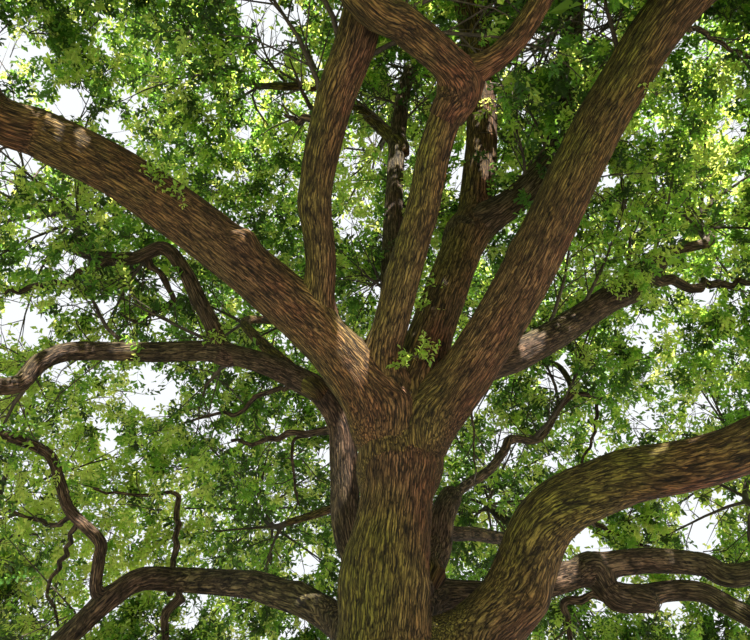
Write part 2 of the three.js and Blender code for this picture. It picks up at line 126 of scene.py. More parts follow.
# Limbs, as in the frame: name, parent, place on the parent, radius, tip radius, mass, legs.
# From the trunk a place is a height, and from a bough it counts the parent's legs.
LIMBS = (
    ("left_high_bough", "trunk", 3.5, 0.217, 0.125, "middle_leaves_5",
     ((0.9, 215, 48), (0.98, 215, 30), (0.96, 208, 27), (0.79, 209, 14), (0.33, 213, 1))),
    ("right_high_bough", "trunk", 3.43, 0.214, 0.172, "middle_leaves_8",
     ((0.67, 338, 46), (0.96, 319, 45), (1.29, 306, 44), (1.12, 305, 34))),
    ("leader_bough", "trunk", 3.56, 0.21, 0.14, "top_leaves_1",
     ((0.94, 358, 74), (1.45, 22, 70), (0.57, 21, 72), (1.35, 327, 82), (1.58, 260, 79))),
    ("centre_bough", "trunk", 3.6, 0.15, 0.103, None,
     ((0.62, 247, 58), (0.42, 284, 42), (0.79, 288, 36), (0.53, 282, 28), (0.45, 290, 27))),
    ("right_middle_bough", "trunk", 3.56, 0.15, 0.132, None,
     ((0.95, 14, 47), (0.51, 17, 29), (0.52, 16, 33), (0.61, 14, 37), (0.69, 9, 37), (0.46, 6, 44))),
    ("right_low_bough", "trunk", 1.65, 0.242, 0.09, "low_leaves_10",
     ((1.15, 10, 39), (0.68, 325, 54), (0.6, 322, 17), (0.89, 315, 1))),
    ("left_low_bough", "trunk", 1.9, 0.12, 0.064, "low_leaves_5",
     ((0.78, 128, 36), (0.77, 145, 21), (0.37, 138, 13), (0.5, 141, 9), (0.25, 170, 4),
      (0.35, 206, -5), (0.33, 204, -39), (0.31, 176, -45), (0.37, 173, -39), (0.69, 156, -5),
      (0.83, 158, 20))),
    ("right_back_low_bough", "trunk", 1.95, 0.122, 0.088, "low_leaves_1",
     ((0.88, 57, 37), (0.68, 26, 8), (0.65, 23, 15), (0.41, 7, 17), (0.47, 3, 7), (0.43, 355, -5),
      (0.35, 340, -18))),
    ("left_middle_bough", "trunk", 2.05, 0.131, 0.058, "low_leaves_7",
     ((1.05, 101, 39), (0.43, 192, 71), (0.46, 253, 75), (0.4, 256, 72), (0.31, 213, 53),
      (0.28, 177, 35), (0.43, 173, 28), (0.47, 182, 14), (0.6, 188, -5), (0.63, 201, -11),
      (0.32, 221, -39), (0.39, 223, -53))),
    ("back_middle_bough", "trunk", 2.13, 0.126, 0.105, None,
     ((1.08, 60, 39), (0.38, 37, 72), (0.3, 50, 53))),
    ("back_high_bough", "trunk", 3.6, 0.115, 0.066, "upper_leaves_2",
     ((1.6, 96, 78), (1.6, 80, 80), (1.98, 43, 84), (0.7, 20, 78))),
    ("low_back_limb", "trunk", 2.2, 0.072, 0.052, "low_leaves_3",
     ((1.14, 63, 42), (0.73, 55, 18), (1.01, 57, 10))),
    ("left_riser", "left_high_bough", 1.25, 0.116, 0.15, "upper_leaves_5",
     ((0.56, 275, 45), (0.47, 264, 32), (0.27, 281, 25), (0.44, 287, 26), (0.28, 293, 35),
      (0.27, 301, 39))),
    ("right_back_bough", "leader_bough", 2.05, 0.152, 0.072, "upper_leaves_1",
     ((0.43, 351, 36), (0.47, 348, 40), (0.54, 342, 53), (0.7, 326, 71), (0.99, 352, 77),
      (1.05, 338, 79))),
    ("centre_left_bough", "centre_bough", 5, 0.12, 0.085, "middle_leaves_6",
     ((0.52, 223, 7), (0.46, 221, -4))),
    ("centre_right_bough", "centre_bough", 5, 0.09, 0.062, "middle_leaves_7",
     ((0.35, 340, 27), (0.45, 322, 44))),
    ("right_middle_fork", "right_middle_bough", 5.6, 0.062, 0.045, "middle_leaves_1",
     ((0.5, 17, 42), (0.56, 11, 22))),
    ("left_middle_riser", "left_middle_bough", 7.85, 0.08, 0.055, "middle_leaves_4",
     ((0.3, 220, 58), (0.26, 212, 54), (0.38, 205, 58), (0.34, 190, 45), (0.4, 160, -3))),
    ("left_low_riser", "left_low_bough", 6.74, 0.055, 0.042, "low_leaves_6",
     ((0.15, 214, 11), (0.26, 249, 78), (0.16, 239, 75), (0.43, 180, 39), (0.29, 199, 60),
      (0.31, 228, 49), (0.53, 215, 10))),
    ("right_low_stub", "right_back_low_bough", 3.81, 0.1, 0.09, None,
     ((0.25, 12, -54), (0.3, 346, -15))),
    ("right_low_fork", "right_low_stub", 1.35, 0.088, 0.085, None,
     ((0.42, 3, 8), (0.25, 344, -4), (0.21, 343, -31), (0.24, 334, -36))),
    ("front_left_limb", "left_high_bough", 5.2, 0.085, 0.055, "low_leaves_8", ()),
    ("front_right_limb", "right_low_bough", 4.3, 0.098, 0.06, "low_leaves_9", ()),
    ("right_back_limb", "right_back_low_bough", 7.4, 0.075, 0.05, "low_leaves_2", ()),
    ("left_back_limb", "back_middle_bough", 0.9, 0.07, 0.05, "low_leaves_4", ()),
    ("back_right_limb", "back_middle_bough", 2.75, 0.05, 0.038, "middle_leaves_2",
     ((0.5, 56, 34), (0.49, 48, 31), (0.48, 48, 42), (0.25, 46, 47), (0.58, 42, 16), (0.63, 24, 51),
      (0.42, 32, 48))),
    ("back_left_limb", "left_middle_bough", 5.7, 0.065, 0.05, "middle_leaves_3", ()),
    ("upper_back_limb", "back_high_bough", 2.5, 0.08, 0.055, "upper_leaves_3", ()),
    ("upper_left_limb", "left_riser", 6.3, 0.084, 0.055, "upper_leaves_4", ()),
    ("upper_right_limb", "right_high_bough", 4.4, 0.09, 0.055, "upper_leaves_6", ()),
)

# Small bare branches between the boughs: name, parent, place on the parent, radius, legs
SMALL_BRANCHES = (
    ("left_dark_branch", "left_middle_riser", 4.69, 0.048,
     ((0.42, 158, 5), (0.58, 155, -1), (0.52, 158, -3), (0.35, 165, 7))),
    ("left_dark_fork", "left_middle_riser", 4.58, 0.035,
     ((0.55, 72, -22), (0.41, 152, -15), (0.29, 160, 7))),
    ("left_upper_branch", "left_middle_bough", 6.05, 0.028,
     ((0.38, 122, 13), (0.4, 141, -4), (0.28, 139, -17), (0.22, 144, 23), (0.31, 146, 2),
      (0.26, 151, -1))),
    ("left_level_branch", "left_middle_bough", 3.89, 0.036,
     ((0.5, 144, 11), (0.59, 146, 4), (0.36, 147, 14))),
    ("left_hanging_branch", "left_middle_bough", 3.93, 0.024,
     ((0.38, 126, 13), (0.32, 137, 5), (0.12, 122, -50), (0.3, 90, -56), (0.23, 72, -56))),
    ("low_level_branch", "left_low_bough", 5.18, 0.034,
     ((0.36, 106, 3), (0.96, 115, 62), (0.18, 177, 70), (0.39, 179, -1), (0.51, 186, 9))),
    ("low_drooping_branch", "left_low_bough", 4.77, 0.055,
     ((0.24, 171, -63), (0.31, 122, -63), (0.25, 91, -68))),
    ("low_left_twig", "left_low_riser", 3.82, 0.026, ((0.54, 136, 2), (0.45, 160, 19), (0.28, 167, 19))),
    ("low_left_drooping_twig", "left_low_riser", 3.66, 0.026,
     ((0.76, 120, -18), (0.39, 123, -35), (0.52, 74, -44))),
    ("right_burl_fork", "right_middle_bough", 5.4, 0.06,
     ((0.48, 21, 2), (0.46, 18, 8), (0.38, 12, 9), (0.47, 14, 1))),
    ("right_hanging_branch", "right_low_stub", 1.25, 0.036,
     ((0.44, 164, -1), (0.13, 102, -55), (0.23, 74, -56), (0.17, 90, -57))),
    ("right_behind_branch", "low_back_limb", 3.86, 0.045,
     ((0.75, 18, 17), (0.53, 26, 0), (0.37, 32, -17), (0.33, 30, -11), (0.23, 16, -24))),
    ("right_thin_branch", "back_right_limb", 6.83, 0.03,
     ((0.46, 30, 1), (0.6, 90, -37), (0.26, 114, -31), (0.2, 109, -56))),
    ("high_left_snag", "left_riser", 3.75, 0.04, ((0.11, 116, 50), (0.29, 147, 35), (0.27, 142, 47))),
    ("high_left_twig", "left_riser", 3.83, 0.02,
     ((0.13, 143, 45), (0.3, 152, 61), (0.27, 168, 74), (0.27, 174, 73))),
    ("high_right_branch", "right_high_bough", 3.92, 0.028,
     ((0.39, 42, 36), (0.31, 34, 22), (0.18, 31, 14), (0.24, 28, 3), (0.33, 22, -2))),
    ("arched_twig", "leader_bough", 4.45, 0.012,
     ((0.37, 7, 18), (0.4, 13, -19), (0.47, 14, -42), (0.54, 17, -42), (0.32, 33, -40))),
    ("low_twig", "right_middle_bough", 0.77, 0.014,
     ((0.57, 70, 11), (0.31, 80, -38), (0.24, 85, -56), (0.2, 70, -56))),
)
SMALL_BRANCH_TIP_SHARE = 0.35
SMALL_BRANCH_SIDES = 12
SMALL_BRANCH_STEP = 0.025
SMALL_BRANCH_SWELL = 0.3
SMALL_BRANCH_SALT = 40
CROOK_SPACING = 0.13
CROOK_SHARE = 0.55
SPURS = 5
SPUR_LENGTH = (0.55, 0.3)
SPUR_ANGLES = (35, 75)
SPURS_FROM = 0.25
SPUR_LIFT = 0.1

# Bark: mesh steps, ridges, fissures, cracks, lumps and the grain
FINE_STEP_PER_METRE = 0.0024
STEP_RANGE = (0.011, 0.034)
STEP_STRETCH = 2.2
RIDGE_WIDTH = 0.044
RIDGE_LENGTH = 0.26
FULL_LENGTH_RADIUS = 0.25
RIDGE_PUSH = (0.9, 0.25)
CRACK_PUSH = 1.3
CRACK_SHORTER = 2.4
FISSURE_SHARES = (0.45, 1.3)
FISSURE_RIM = 0.30
FISSURE_DEPTH = 0.002
FISSURE_DEPTH_SHARE = 0.011
CRACK_RIM = 0.45
CRACK_SHARE = 0.28
CRACK_TINT = 0.3
PLAIN_FOOT = 0.05
LUMP_SHARE = 0.11
LUMP_SALT = 20
FILLET_BALLS = 0.04
TRUNK_SEEN_HEIGHT = 2.4
TRUNK_SEEN_RADIUS = 0.42
TRUNK_RIDGE_RADIUS = 0.36
LIMB_SEEN_SHARE = 0.45
GRAIN_APART = 3.7
GRAIN_TURN = 0.7
TRUNK_SALT = 3
FIRST_LIMB_SALT = 100
LIMB_SALT_STEP = 31
RIDGE_WANDER = 0.02
FLOW_BACK = 0.5
FLOW_BACK_SHARE = 2.2
HIDDEN_FOOT = 0.3
TIP_TURNS = (25, 48, 68)
ROUNDED_BENDS = {"left_riser": 0.15}
WIDER_RIDGES_FROM = 5.8
WIDER_RIDGES_MOST = 1.5

# Lumps of the bark: count round the limb, length for each metre of radius, least length and height
LUMPS = ((4, 2.2, 0.15, 1.0), (9, 0.9, 0.08, 0.5))

# Tints of the bark: plain share, gain on one side, the waves' strength, squeeze and shift, and that side.
# Green algae lie on the left and above, and rusty bark underneath and on the right.
MOSS = (0.26, 0.62, 0.3, 1.0, 0, (-0.85, -0.15, 0.45))
RUST = (0.28, 0.5, 0.32, 1.7, 3, (0.5, -0.2, -0.75))
WAVES = ((3.1, 1.7, 2.3), (-1.9, 4.3, 3.7))

# Stops of the bark's colours on the noise that blotches them
BROWN = ((0.32, (0.060, 0.031, 0.015)), (0.50, (0.084, 0.046, 0.022)), (0.68, (0.112, 0.068, 0.032)))
RUSTY = ((0.35, (0.074, 0.024, 0.014)), (0.65, (0.116, 0.044, 0.024)))
OLIVE = ((0.35, (0.058, 0.053, 0.008)), (0.65, (0.096, 0.088, 0.015)))
# SHADED: darker, greyer browns for limbs in the crown's deep shade, which paint shade into the bark
SHADED = ((0.35, (0.026, 0.019, 0.014)), (0.65, (0.062, 0.050, 0.036)))
RUST_SPREAD = ((0.38, 0.2), (0.60, 0.9))
MOSS_SPREAD = ((0.3, 0.5), (0.6, 1.0))
# Share of the painted shade's browns on the limbs in deep shade
SHADE_GREY_SHARE = 0.65

# Stops of what darkens and lightens the bark: cracks between the ridges, streaks, breaks and the relief's own
# fissures.
# The dark cracks, low streaks and fissures are painted shade, and the lighter ridge tops and high streaks
# painted highlights.
RIDGE_CRACK_SHADE = ((0.0, (0.20, 0.18, 0.16)), (0.08, (0.58, 0.55, 0.52)), (0.16, 1.1), (0.32, 1.3))
STREAK_SHADE_AND_HIGHLIGHT = ((0.38, (0.15, 0.13, 0.12)), (0.45, 0.66), (0.53, 1.15), (0.65, (2.0, 1.92, 1.78)))
BREAK_TONES = ((0.34, 0.72), (0.50, 1.0), (0.66, 1.2))
FISSURE_SHADE = ((0.25, 1.0), (1.0, (0.80, 0.76, 0.72)))
RIDGE_HEIGHTS = ((0.0, 0.0), (0.24, 1.0))
STREAK_HEIGHT = 0.8

# Stops of the twigs' skin and of the flecks that darken it
TWIG_SKIN = ((0.25, (0.030, 0.021, 0.015)), (0.75, (0.085, 0.062, 0.042)))
TWIG_FLECKS = ((0.35, 0.5), (0.65, 1.2))

# Burls, knots and stubs, each a rounded swelling on its limb: limb, place, width and height
BURLS = (
    ("left_high_bough", (0.06, -0.33, 3.74), 0.16, 0.06),
    ("right_high_bough", (0.06, -0.33, 3.74), 0.16, 0.06),
    ("centre_bough", (0.06, -0.31, 3.80), 0.16, 0.06),
    ("leader_bough", (0.10, -0.30, 3.80), 0.16, 0.06),
    ("trunk", (-0.17, -0.12, 2.58), 0.34, 0.085),
    ("trunk", (0.29, -0.19, 2.42), 0.10, 0.045),
    ("trunk", (0.23, -0.22, 2.24), 0.09, 0.035),
    ("left_high_bough", (-1.04, -1.06, 4.75), 0.10, 0.075),
    ("right_low_bough", (1.09, -0.02, 2.36), 0.12, 0.05),
    ("right_low_bough", (0.93, -0.13, 2.07), 0.12, 0.05),
    ("left_riser", (-0.54, -1.30, 4.89), 0.12, 0.03),
    ("right_high_bough", (0.95, -0.85, 4.9), 0.10, 0.03),
    ("left_low_bough", (-0.66, 0.62, 2.62), 0.10, 0.035),
    ("right_back_low_bough", (1.6, 1.05, 2.86), 0.10, 0.04),
    ("right_middle_bough", (2.62, 0.55, 5.45), 0.16, 0.07),
    ("right_middle_bough", (2.45, 0.45, 5.30), 0.11, 0.05),
)

# Limbs in the deep shade of the crown, whose bark is painted greyer and darker than the rest: painted shade
SHADE_GREYED_LIMBS = (
    "right_back_bough", "right_middle_bough", "left_low_bough", "right_back_low_bough",
    "left_middle_bough", "back_middle_bough", "back_high_bough", "low_back_limb", "right_middle_fork",
    "left_middle_riser", "left_low_riser", "right_low_stub", "right_low_fork", "back_right_limb",
)

# Foliage: counts, sizes and directions, down the levels from a mass's stem
BRANCHES = 15
BRANCH_REACH = 0.86
BRANCH_REACH_WANDER = (0.86, 1.14)
BRANCH_ROOTS = (0.1, 0.95)
BRANCH_OUTWARD = 0.6
BRANCH_KNEE = 0.45
BRANCH_CROOK = 0.12
TWIGS_PER_BRANCH = 10
SHOOTS_PER_TWIG = 10
FAR_SHOOTS_PER_TWIG = 7
TWIG_LENGTH = (1.05, 0.55)
SHOOT_LENGTH = (0.42, 0.24)
TWIG_ANGLES = (36, 70)
SHOOT_ANGLES = (28, 68)
TWIGS_FROM = 0.2
SHOOTS_FROM = 0.15
BRANCH_MARGIN = 0.12
TWIG_MARGIN = 0.1
SHOOT_MARGIN = 0.04
TIP_FROM = 0.93
TIP_STRAIGHTER = 0.55
LENGTH_WANDER = (0.7, 1.3)
LOW_MASS = 6
LIFT_LOW = -0.05
LIFT_HIGH = 0.1
SPACE_SPREAD = 0.45
SPREAD_INWARD = 0.35
SPREAD_BELOW = 0.1
SPREAD_GAIN = 1.6
CROWN_HEART = (0.0, 0.0, 6.5)
SHORTENINGS = 5
SHORTENED = 0.72
SHORTEST = 0.04
LIMB_CLEARANCE = 0.03
LIMB_BALLS = 0.1
BOX_MARGIN = 0.22
SIDE_BRANCH_SHARES = (0.45, 0.98)
SIDE_BRANCH_SPACING = 0.5
SIDE_BRANCH_LENGTH = (1.1, 1.9)
SIDE_BRANCH_ANGLES = (45, 75)
SIDE_BRANCH_RISE = 0.25
SIDE_BRANCH_AWAY = 0.35
SIDE_BRANCH_ALONG = 0.8
SIDE_LIFT = 0.05
SIDE_BRANCH_FROM_EYE = 5.4
SIDE_BRANCH_FROM_HEIGHT = 4.2
STEM_ROWS = 26
STEM_SIDES = 7
STEM_THINNING = (0.72, 0.8)
PIECE_LIMIT = 180000
PART_SIZE = 3000

# Tubes of the wood: radius at the foot, radius at the tip, sides and rings
BRANCH_TUBE = (0.024, 0.008, 5, 4)
TWIG_TUBE = (0.0085, 0.004, 3, 2)
SHOOT_TUBE = (0.0034, 0.002, 3, 1)

# Seeds of the draws that grow the side branches, fill the crown and deal out the greens
SIDE_SEED = 500
FILL_SEED = 4000
GREEN_SEED = 77

# Leaves: length for each metre of depth in the view, its range, and the leaves on a shoot
LEAF_PER_METRE = 0.0110
LEAF_RANGE = (0.062, 0.2)
SHOOT_LEAVES = 6
SHOOT_LEAF = 0.145
SHOOT_LEAVES_RANGE = (3, 17)
LEAF_COVER = 0.135
LEAF_ANGLES = (36, 80)
LEAF_SPIN_WANDER = 0.8
LEAF_DROOP = 0.2
LEAF_TILT = 0.6
LEAF_LENGTH_WANDER = (0.68, 1.28)
LEAF_PLACES = (0.75, 1.2)
LEAF_FOLD = 0.35
LEAF_CURL = 0.16

# A lobed outline, as (along, across) shares of the leaf's length, and its faces
LEAF_OUTLINE = np.array([(0.0, 0.0), (0.38, 0.26), (1.0, 0.0), (0.44, -0.12), (0.66, -0.30)])
LEAF_FACES = np.array([(0, 2, 1), (0, 3, 2), (3, 4, 2)])

# The view, as tangents either side of its middle, and the cells in which the cover is evened out
VIEW_HALF = (0.63, 0.54)
VIEW_CELL = 0.026
NEAR_HALF = 0.62
VIEW_FROM = 0.5
BALLS_FROM = 1
OWN_COVER = 0.4
NEXT_COVER = 0.15
WANTED_COVER = 3.3
CLUMP_CELLS = (4.5, 1.8)
CLUMP_RANGE = (0.35, 1.65)
THIN_SHARE = 0.5
FILL_REACH = (0.12, 1.5)
FILL_JITTER = 0.25
FILL_BEND = 0.12
FILL_FROM_DEPTH = 5.6
FILL_TOO_NEAR = 50
FILL_FROM = 0.3
FILL_LIFT = -0.05
FILL_ROUNDS = 3
NOISE_PERIOD = 1000

# Openings in the crown as the viewer sees them: bearing, rise and half width
SKY_OPENINGS = (
    (129, 40, 2.0), (126, 46, 1.5), (122, 46, 1.1), (119, 44, 0.9), (135, 47, 2.2), (124, 36, 1.5),
    (124, 33, 1.1), (121, 34, 1.0), (123, 28, 2.2), (120, 31, 1.0), (117, 31, 0.9), (112, 34, 1.3),
    (112, 31, 1.0), (101, 34, 1.1), (119, 25, 1.3), (111, 25, 2.0), (106, 23, 1.4), (114, 21, 1.4),
    (104, 22, 0.9), (93, 41, 1.3), (90, 36, 1.1), (94, 21, 1.0), (67, 54, 1.7), (60, 54, 1.6),
    (87, 54, 1.0), (80, 26, 1.2), (78, 21, 1.7), (61, 22, 1.3), (66, 22, 1.3),
    (70, 21, 1.1), (74, 20, 1.0), (63, 14, 1.9), (72, 13, 1.2),
    (67, 8, 1.6), (64, 29, 1.3), (72, 27, 1.3), (58, 31, 1.1), (50, 42, 1.1),
    (63, 42, 0.9), (107, 48, 1.0), (96, 12, 1.1), (105, 8, 1.0), (104, 56, 2.2), (108, 58, 1.8),
    (90, 48.5, 0.9), (86, 47.5, 0.9), (80, 45.5, 0.9), (84, 41, 0.8),
)
OPENING_COVER = 0.24
OPENING_EDGE = (0.7, 1.1)
OPENING_RAGGED = (0.017, 0.95)

# Wide thin parts of the crown: bearing, rise, half width and share of the usual cover
THIN_AREAS = (
    (124, 47, 9, 0.58), (87, 47, 9, 0.72), (133, 44, 8, 0.6), (104, 53, 6, 0.65), (60, 27, 7, 0.7),
    (116, 28, 8, 0.8),
)
THIN_EDGE = (0.5, 1.1)

# Limbs that show bare in the view, and limbs that twigs veil on every side
BARE_LIMBS = (
    "left_high_bough", "right_high_bough", "leader_bough", "centre_bough", "centre_left_bough",
    "centre_right_bough", "right_middle_bough", "right_low_bough", "left_low_bough",
    "right_back_low_bough", "left_middle_bough", "left_riser", "right_low_stub", "right_low_fork",
    "left_low_riser",
)
BARE_UNTIL = {"right_middle_bough": 0.68}
BARE_RIM = 0.04
BARE_FROM = 0.3
BARE_LEAVES = 0.06
VEILED_LIMBS = ("back_high_bough", "right_back_bough")
VEIL_SHARES = (0.15, 0.98)
VEIL_SPACING = 0.25
VEIL_LENGTH = (0.5, 1.0)
NO_SIDE_GROWTH = ("centre_bough", "centre_left_bough", "centre_right_bough")

# Small leaves that sprout from the wood itself: places, and what each one bears
SPRIGS = (
    (0.28, -0.45, 4.08), (0.18, -0.40, 4.01), (0.33, -0.42, 4.14), (0.45, -0.10, 4.98),
    (0.39, -0.13, 4.74), (-1.72, -1.39, 5.05), (-1.50, -1.29, 4.95), (-1.62, -1.30, 5.10),
    (-1.55, 0.35, 4.72), (1.23, -0.20, 8.83), (1.21, 0.04, 7.61), (2.01, -1.76, 5.54),
    (2.35, 0.25, 5.28), (2.50, 0.32, 5.50), (2.62, 0.30, 5.36), (2.20, 0.25, 5.22),
    (2.46, 0.28, 5.30),
)
SPRIG_SHOOTS = 9
SPRIG_LEAVES = 5
SPRIG_LENGTH = (0.07, 0.17)
SPRIG_LEAF = 0.05
SPRIG_TOWARD = (0.0, -0.9, 0.5)
SPRIG_BRIGHTNESS = 0.3

# Leaf greens, from the lightest to the darkest: piece, colour and share of the sprays
LEAF_COLOURS = (
    ("leaves_bright", (0.50, 0.63, 0.15), 0.15),
    ("leaves_light", (0.30, 0.46, 0.09), 0.16),
    ("leaves_fresh", (0.14, 0.28, 0.045), 0.16),
    ("leaves_mid", (0.07, 0.165, 0.03), 0.17),
    ("leaves_deep", (0.028, 0.08, 0.018), 0.18),
    ("leaves_dark", (0.012, 0.036, 0.011), 0.18),
)

# How a leaf reflects each part of its colour, and how it lets it through: gain, plain light and most
LEAF_REFLECTED = (0.37, 0.54, 0.45)
LEAF_THROUGH = ((2.15, 0.06, 0.85), (2.0, 0.075, 0.88), (1.3, 0.015, 1.0))
LEAF_THROUGH_SHARE = 0.6

# Lighter parts of the crown, where the sprays' greens are made lighter as painted light: bearing, rise, half
# width and the portion of sprays that is lighter there
PAINTED_LIGHT_AREAS = (
    (113, 15, 9, 0.8), (119, 25, 8, 0.6), (60, 33, 9, 0.4), (67, 13, 8, 0.45), (124, 44, 8, 0.2),
    (58, 43, 9, 0.4), (87, 47, 11, 0.5),
)
LIGHT_EDGE = (0.5, 1.2)
LIGHTER = 0.4

# Light
SUN_FROM = (288.0, 54.0)
SUN_STRENGTH = 24.0
SUN_ANGLE = 0.35
SUN_COLOUR = (1.0, 0.95, 0.84)
SKY_STRENGTH = 1.05
SKY_COLOUR = (0.94, 0.97, 1.0)
FLOOR_COLOUR = (0.46, 0.45, 0.42)
FLOOR_HALF = 45.0
FLOOR_DROP = 0.002

# Places where the sun falls through the crown onto the wood, and the width of each gap
SUN_SPOTS = (
    ((-0.25, -0.53, 4.23), 0.13), ((-0.15, -0.47, 4.11), 0.13), ((-1.08, -1.07, 4.82), 0.12),
    ((-0.33, 0.49, 3.69), 0.13), ((-0.35, 0.56, 3.48), 0.12), ((1.63, 1.03, 2.75), 0.12),
    ((1.35, 0.19, 4.65), 0.11), ((1.25, -0.02, 7.69), 0.12), ((1.20, 0.08, 6.66), 0.12),
    ((-0.95, 0.80, 2.70), 0.10), ((0.39, -0.04, 2.21), 0.09), ((0.11, -0.31, 3.82), 0.07),
    ((-2.30, 0.26, 4.61), 0.10),
)
SUN_GAP_FROM = 0.1
SUN_GAP_RIM = 0.10
SUN_GAP_LEAF_RIM = 0.02
SUN_GAP_LEAVES = 0.04

# The wood over which the crown's shade is deepest: its middle, the shade's half width and its leaves
SHADED_WOOD = (-0.3, -0.7, 4.2)
SHADE_FROM = 1.5
SHADE_WIDTH = 2.1
SHADE_LEAVES = 4


def heading(bearing, rise):
    """Unit vectors: (cos rise cos bearing, cos rise sin bearing, sin rise)."""
    b = np.radians(bearing)
    r = np.radians(rise)
    return np.stack([np.cos(r) * np.cos(b), np.cos(r) * np.sin(b), np.sin(r) + 0 * b], axis=-1)


def ease(low, high, value):
    """Smooth step: t t (3 - 2 t), with t the clipped share of the way from low to high."""
    t = np.clip((value - low) / (high - low), 0, 1)
    return t * t * (3 - 2 * t)


def unit(v):
    """Each vector divided by its own length."""
    return v / np.maximum(np.linalg.norm(v, axis=-1, keepdims=True), 1e-9)


def between(limits, share):
    """Two limits mixed by a share."""
    return limits[0] + (limits[1] - limits[0]) * share


def square_to(along):
    """Two unit vectors square to each direction and to each other."""
    helper = np.where(np.abs(along[:, 2:3]) < 0.8, [[0.0, 0.0, 1.0]], [[0.0, 1.0, 0.0]])
    side = unit(np.cross(along, helper))
    return side, np.cross(along, side)


def turns_round(count):
    """Even turns round a ring."""
    return np.linspace(0, 2 * math.pi, count, endpoint=False)


def spokes(side, up, turn):
    """Ways out round each ring: side cos turn + up sin turn."""
    return side[:, None] * np.cos(turn)[None, :, None] + up[:, None] * np.sin(turn)[None, :, None]


def parts_of(points):
    """Slices that cover many points a few thousand at a time, so that wide tables fit in memory."""
    return (slice(start, start + PART_SIZE) for start in range(0, len(points), PART_SIZE))


# Ways from the viewer, along the view and up across it, and the way to the sun
LOOK = heading(90.0, LOOK_UP)
LOOK_ABOVE = heading(90.0, LOOK_UP + 90.0)
SUNWARD = heading(*SUN_FROM)


def frame_draws(seed):
    """The frame's seeded draws: state = (1664525 state + 1013904223) mod 2^32, as a share of 2^32."""
    state = (seed * 2654435761) % 2 ** 32
    while True:
        state = (state * 1664525 + 1013904223) % 2 ** 32
        yield state / 2 ** 32


# Curves


class Curve:
    """A smooth curve through knots, with reflected end points.

    Between knots p1 and p2 the point is p1 + t m1 + t^2 (3 d - 2 m1 - m2) + t^3 (m1 + m2 - 2 d), with
    d = p2 - p1 and each slope m half the way between the knots on its two sides.
    """

    def __init__(self, knots):
        self.knots = np.asarray(knots, float)
        first = 2 * self.knots[0] - self.knots[1]
        last = 2 * self.knots[-1] - self.knots[-2]
        around = np.vstack([first, self.knots, last])
        self.slopes = (around[2:] - around[:-2]) / 2
        self.legs = len(self.knots) - 1
        share = np.linspace(0, 1, 60 * self.legs + 1)
        steps = np.linalg.norm(np.diff(self.point(share), axis=0), axis=1)
        self.walk = np.concatenate([[0], np.cumsum(steps)])
        self.share = share
        self.length = self.walk[-1]

    def _parts(self, share):
        """The share within a leg, the knot and slopes it lies between, and the way to the next knot."""
        place = np.clip(np.atleast_1d(share), 0, 1) * self.legs
        leg = np.minimum(place.astype(int), self.legs - 1)
        t = (place - leg)[:, None]
        d = self.knots[leg + 1] - self.knots[leg]
        return t, self.knots[leg], self.slopes[leg], self.slopes[leg + 1], d

    def point(self, share):
        """Points on the curve."""
        t, p, m1, m2, d = self._parts(share)
        return p + t * m1 + t ** 2 * (3 * d - 2 * m1 - m2) + t ** 3 * (m1 + m2 - 2 * d)

    def tangent(self, share):
        """Directions along the curve, from the slope of the same formula."""
        t, _, m1, m2, d = self._parts(share)
        return unit(m1 + 2 * t * (3 * d - 2 * m1 - m2) + 3 * t ** 2 * (m1 + m2 - 2 * d))

    def even_shares(self, count):
        """Shares whose points are evenly spaced along the length."""
        return np.interp(np.linspace(0, self.length, count), self.walk, self.share)


# The masses' middles, spaces and entries, by the frame's rule


def place_masses():
    """The masses by rings: heading(first + 360 i / count) (out + wander), at the ring's height + wander."""
    draws = frame_draws(CROWN_SEED)
    masses = []
    for name, count, first, out, height, radius in RINGS_OF_MASSES:
        for i in range(count):
            wander = OUT_WANDER * (next(draws) - 0.5) * (2 if count > 1 else 0)
            middle = heading(first + 360 * i / count, 0.0) * (out + wander)
            middle[2] = height + HEIGHT_WANDER * (next(draws) * 2 - 1)
            seed = FIRST_MASS_SEED + len(masses)
            masses.append({"name": f"{name}_{i + 1}", "middle": middle, "radius": radius, "seed": seed})
    return masses


MASSES = place_masses()
MASS_NAMES = [mass["name"] for mass in MASSES]
MASS_MIDDLES = np.array([mass["middle"] for mass in MASSES])
MASS_RADII = np.array([mass["radius"] for mass in MASSES])


def depth_in_space(index, points):
    """Least of: radius minus distance to the middle, and distance to each halfway plane."""
    squares = ((points[:, None, :] - MASS_MIDDLES) ** 2).sum(-1)
    power = squares - MASS_RADII ** 2
    apart = 2 * np.linalg.norm(MASS_MIDDLES - MASS_MIDDLES[index], axis=1)
    apart[index] = 1
    planes = (power - power[:, index:index + 1]) / apart
    planes[:, index] = np.inf
    ball = MASS_RADII[index] - np.sqrt(squares[:, index])
    return np.minimum(ball, planes.min(axis=1))


def entry_point(index, start):
    """Where a bough enters a mass: middle + share radius away, the share cut until it is in its space."""
    middle = MASS_MIDDLES[index]
    away = unit(start - middle)
    share = ENTRY_SHARE
    point = middle + away * share * MASS_RADII[index]
    while depth_in_space(index, point[None])[0] < ENTRY_MARGIN and share - ENTRY_STEP > ENTRY_LEAST:
        share -= ENTRY_STEP
        point = middle + away * share * MASS_RADII[index]
    return point


# The trunk's and the limbs' middle lines and radii, by the frame's rule


def trunk_middle(z):
    """The trunk's middle line, which leans over smoothly towards the fork."""
    z = np.atleast_1d(z)
    return np.stack([TRUNK_LEAN * ease(TRUNK_LEAN_START, TRUNK_HEIGHT, z), 0 * z, z], axis=-1)


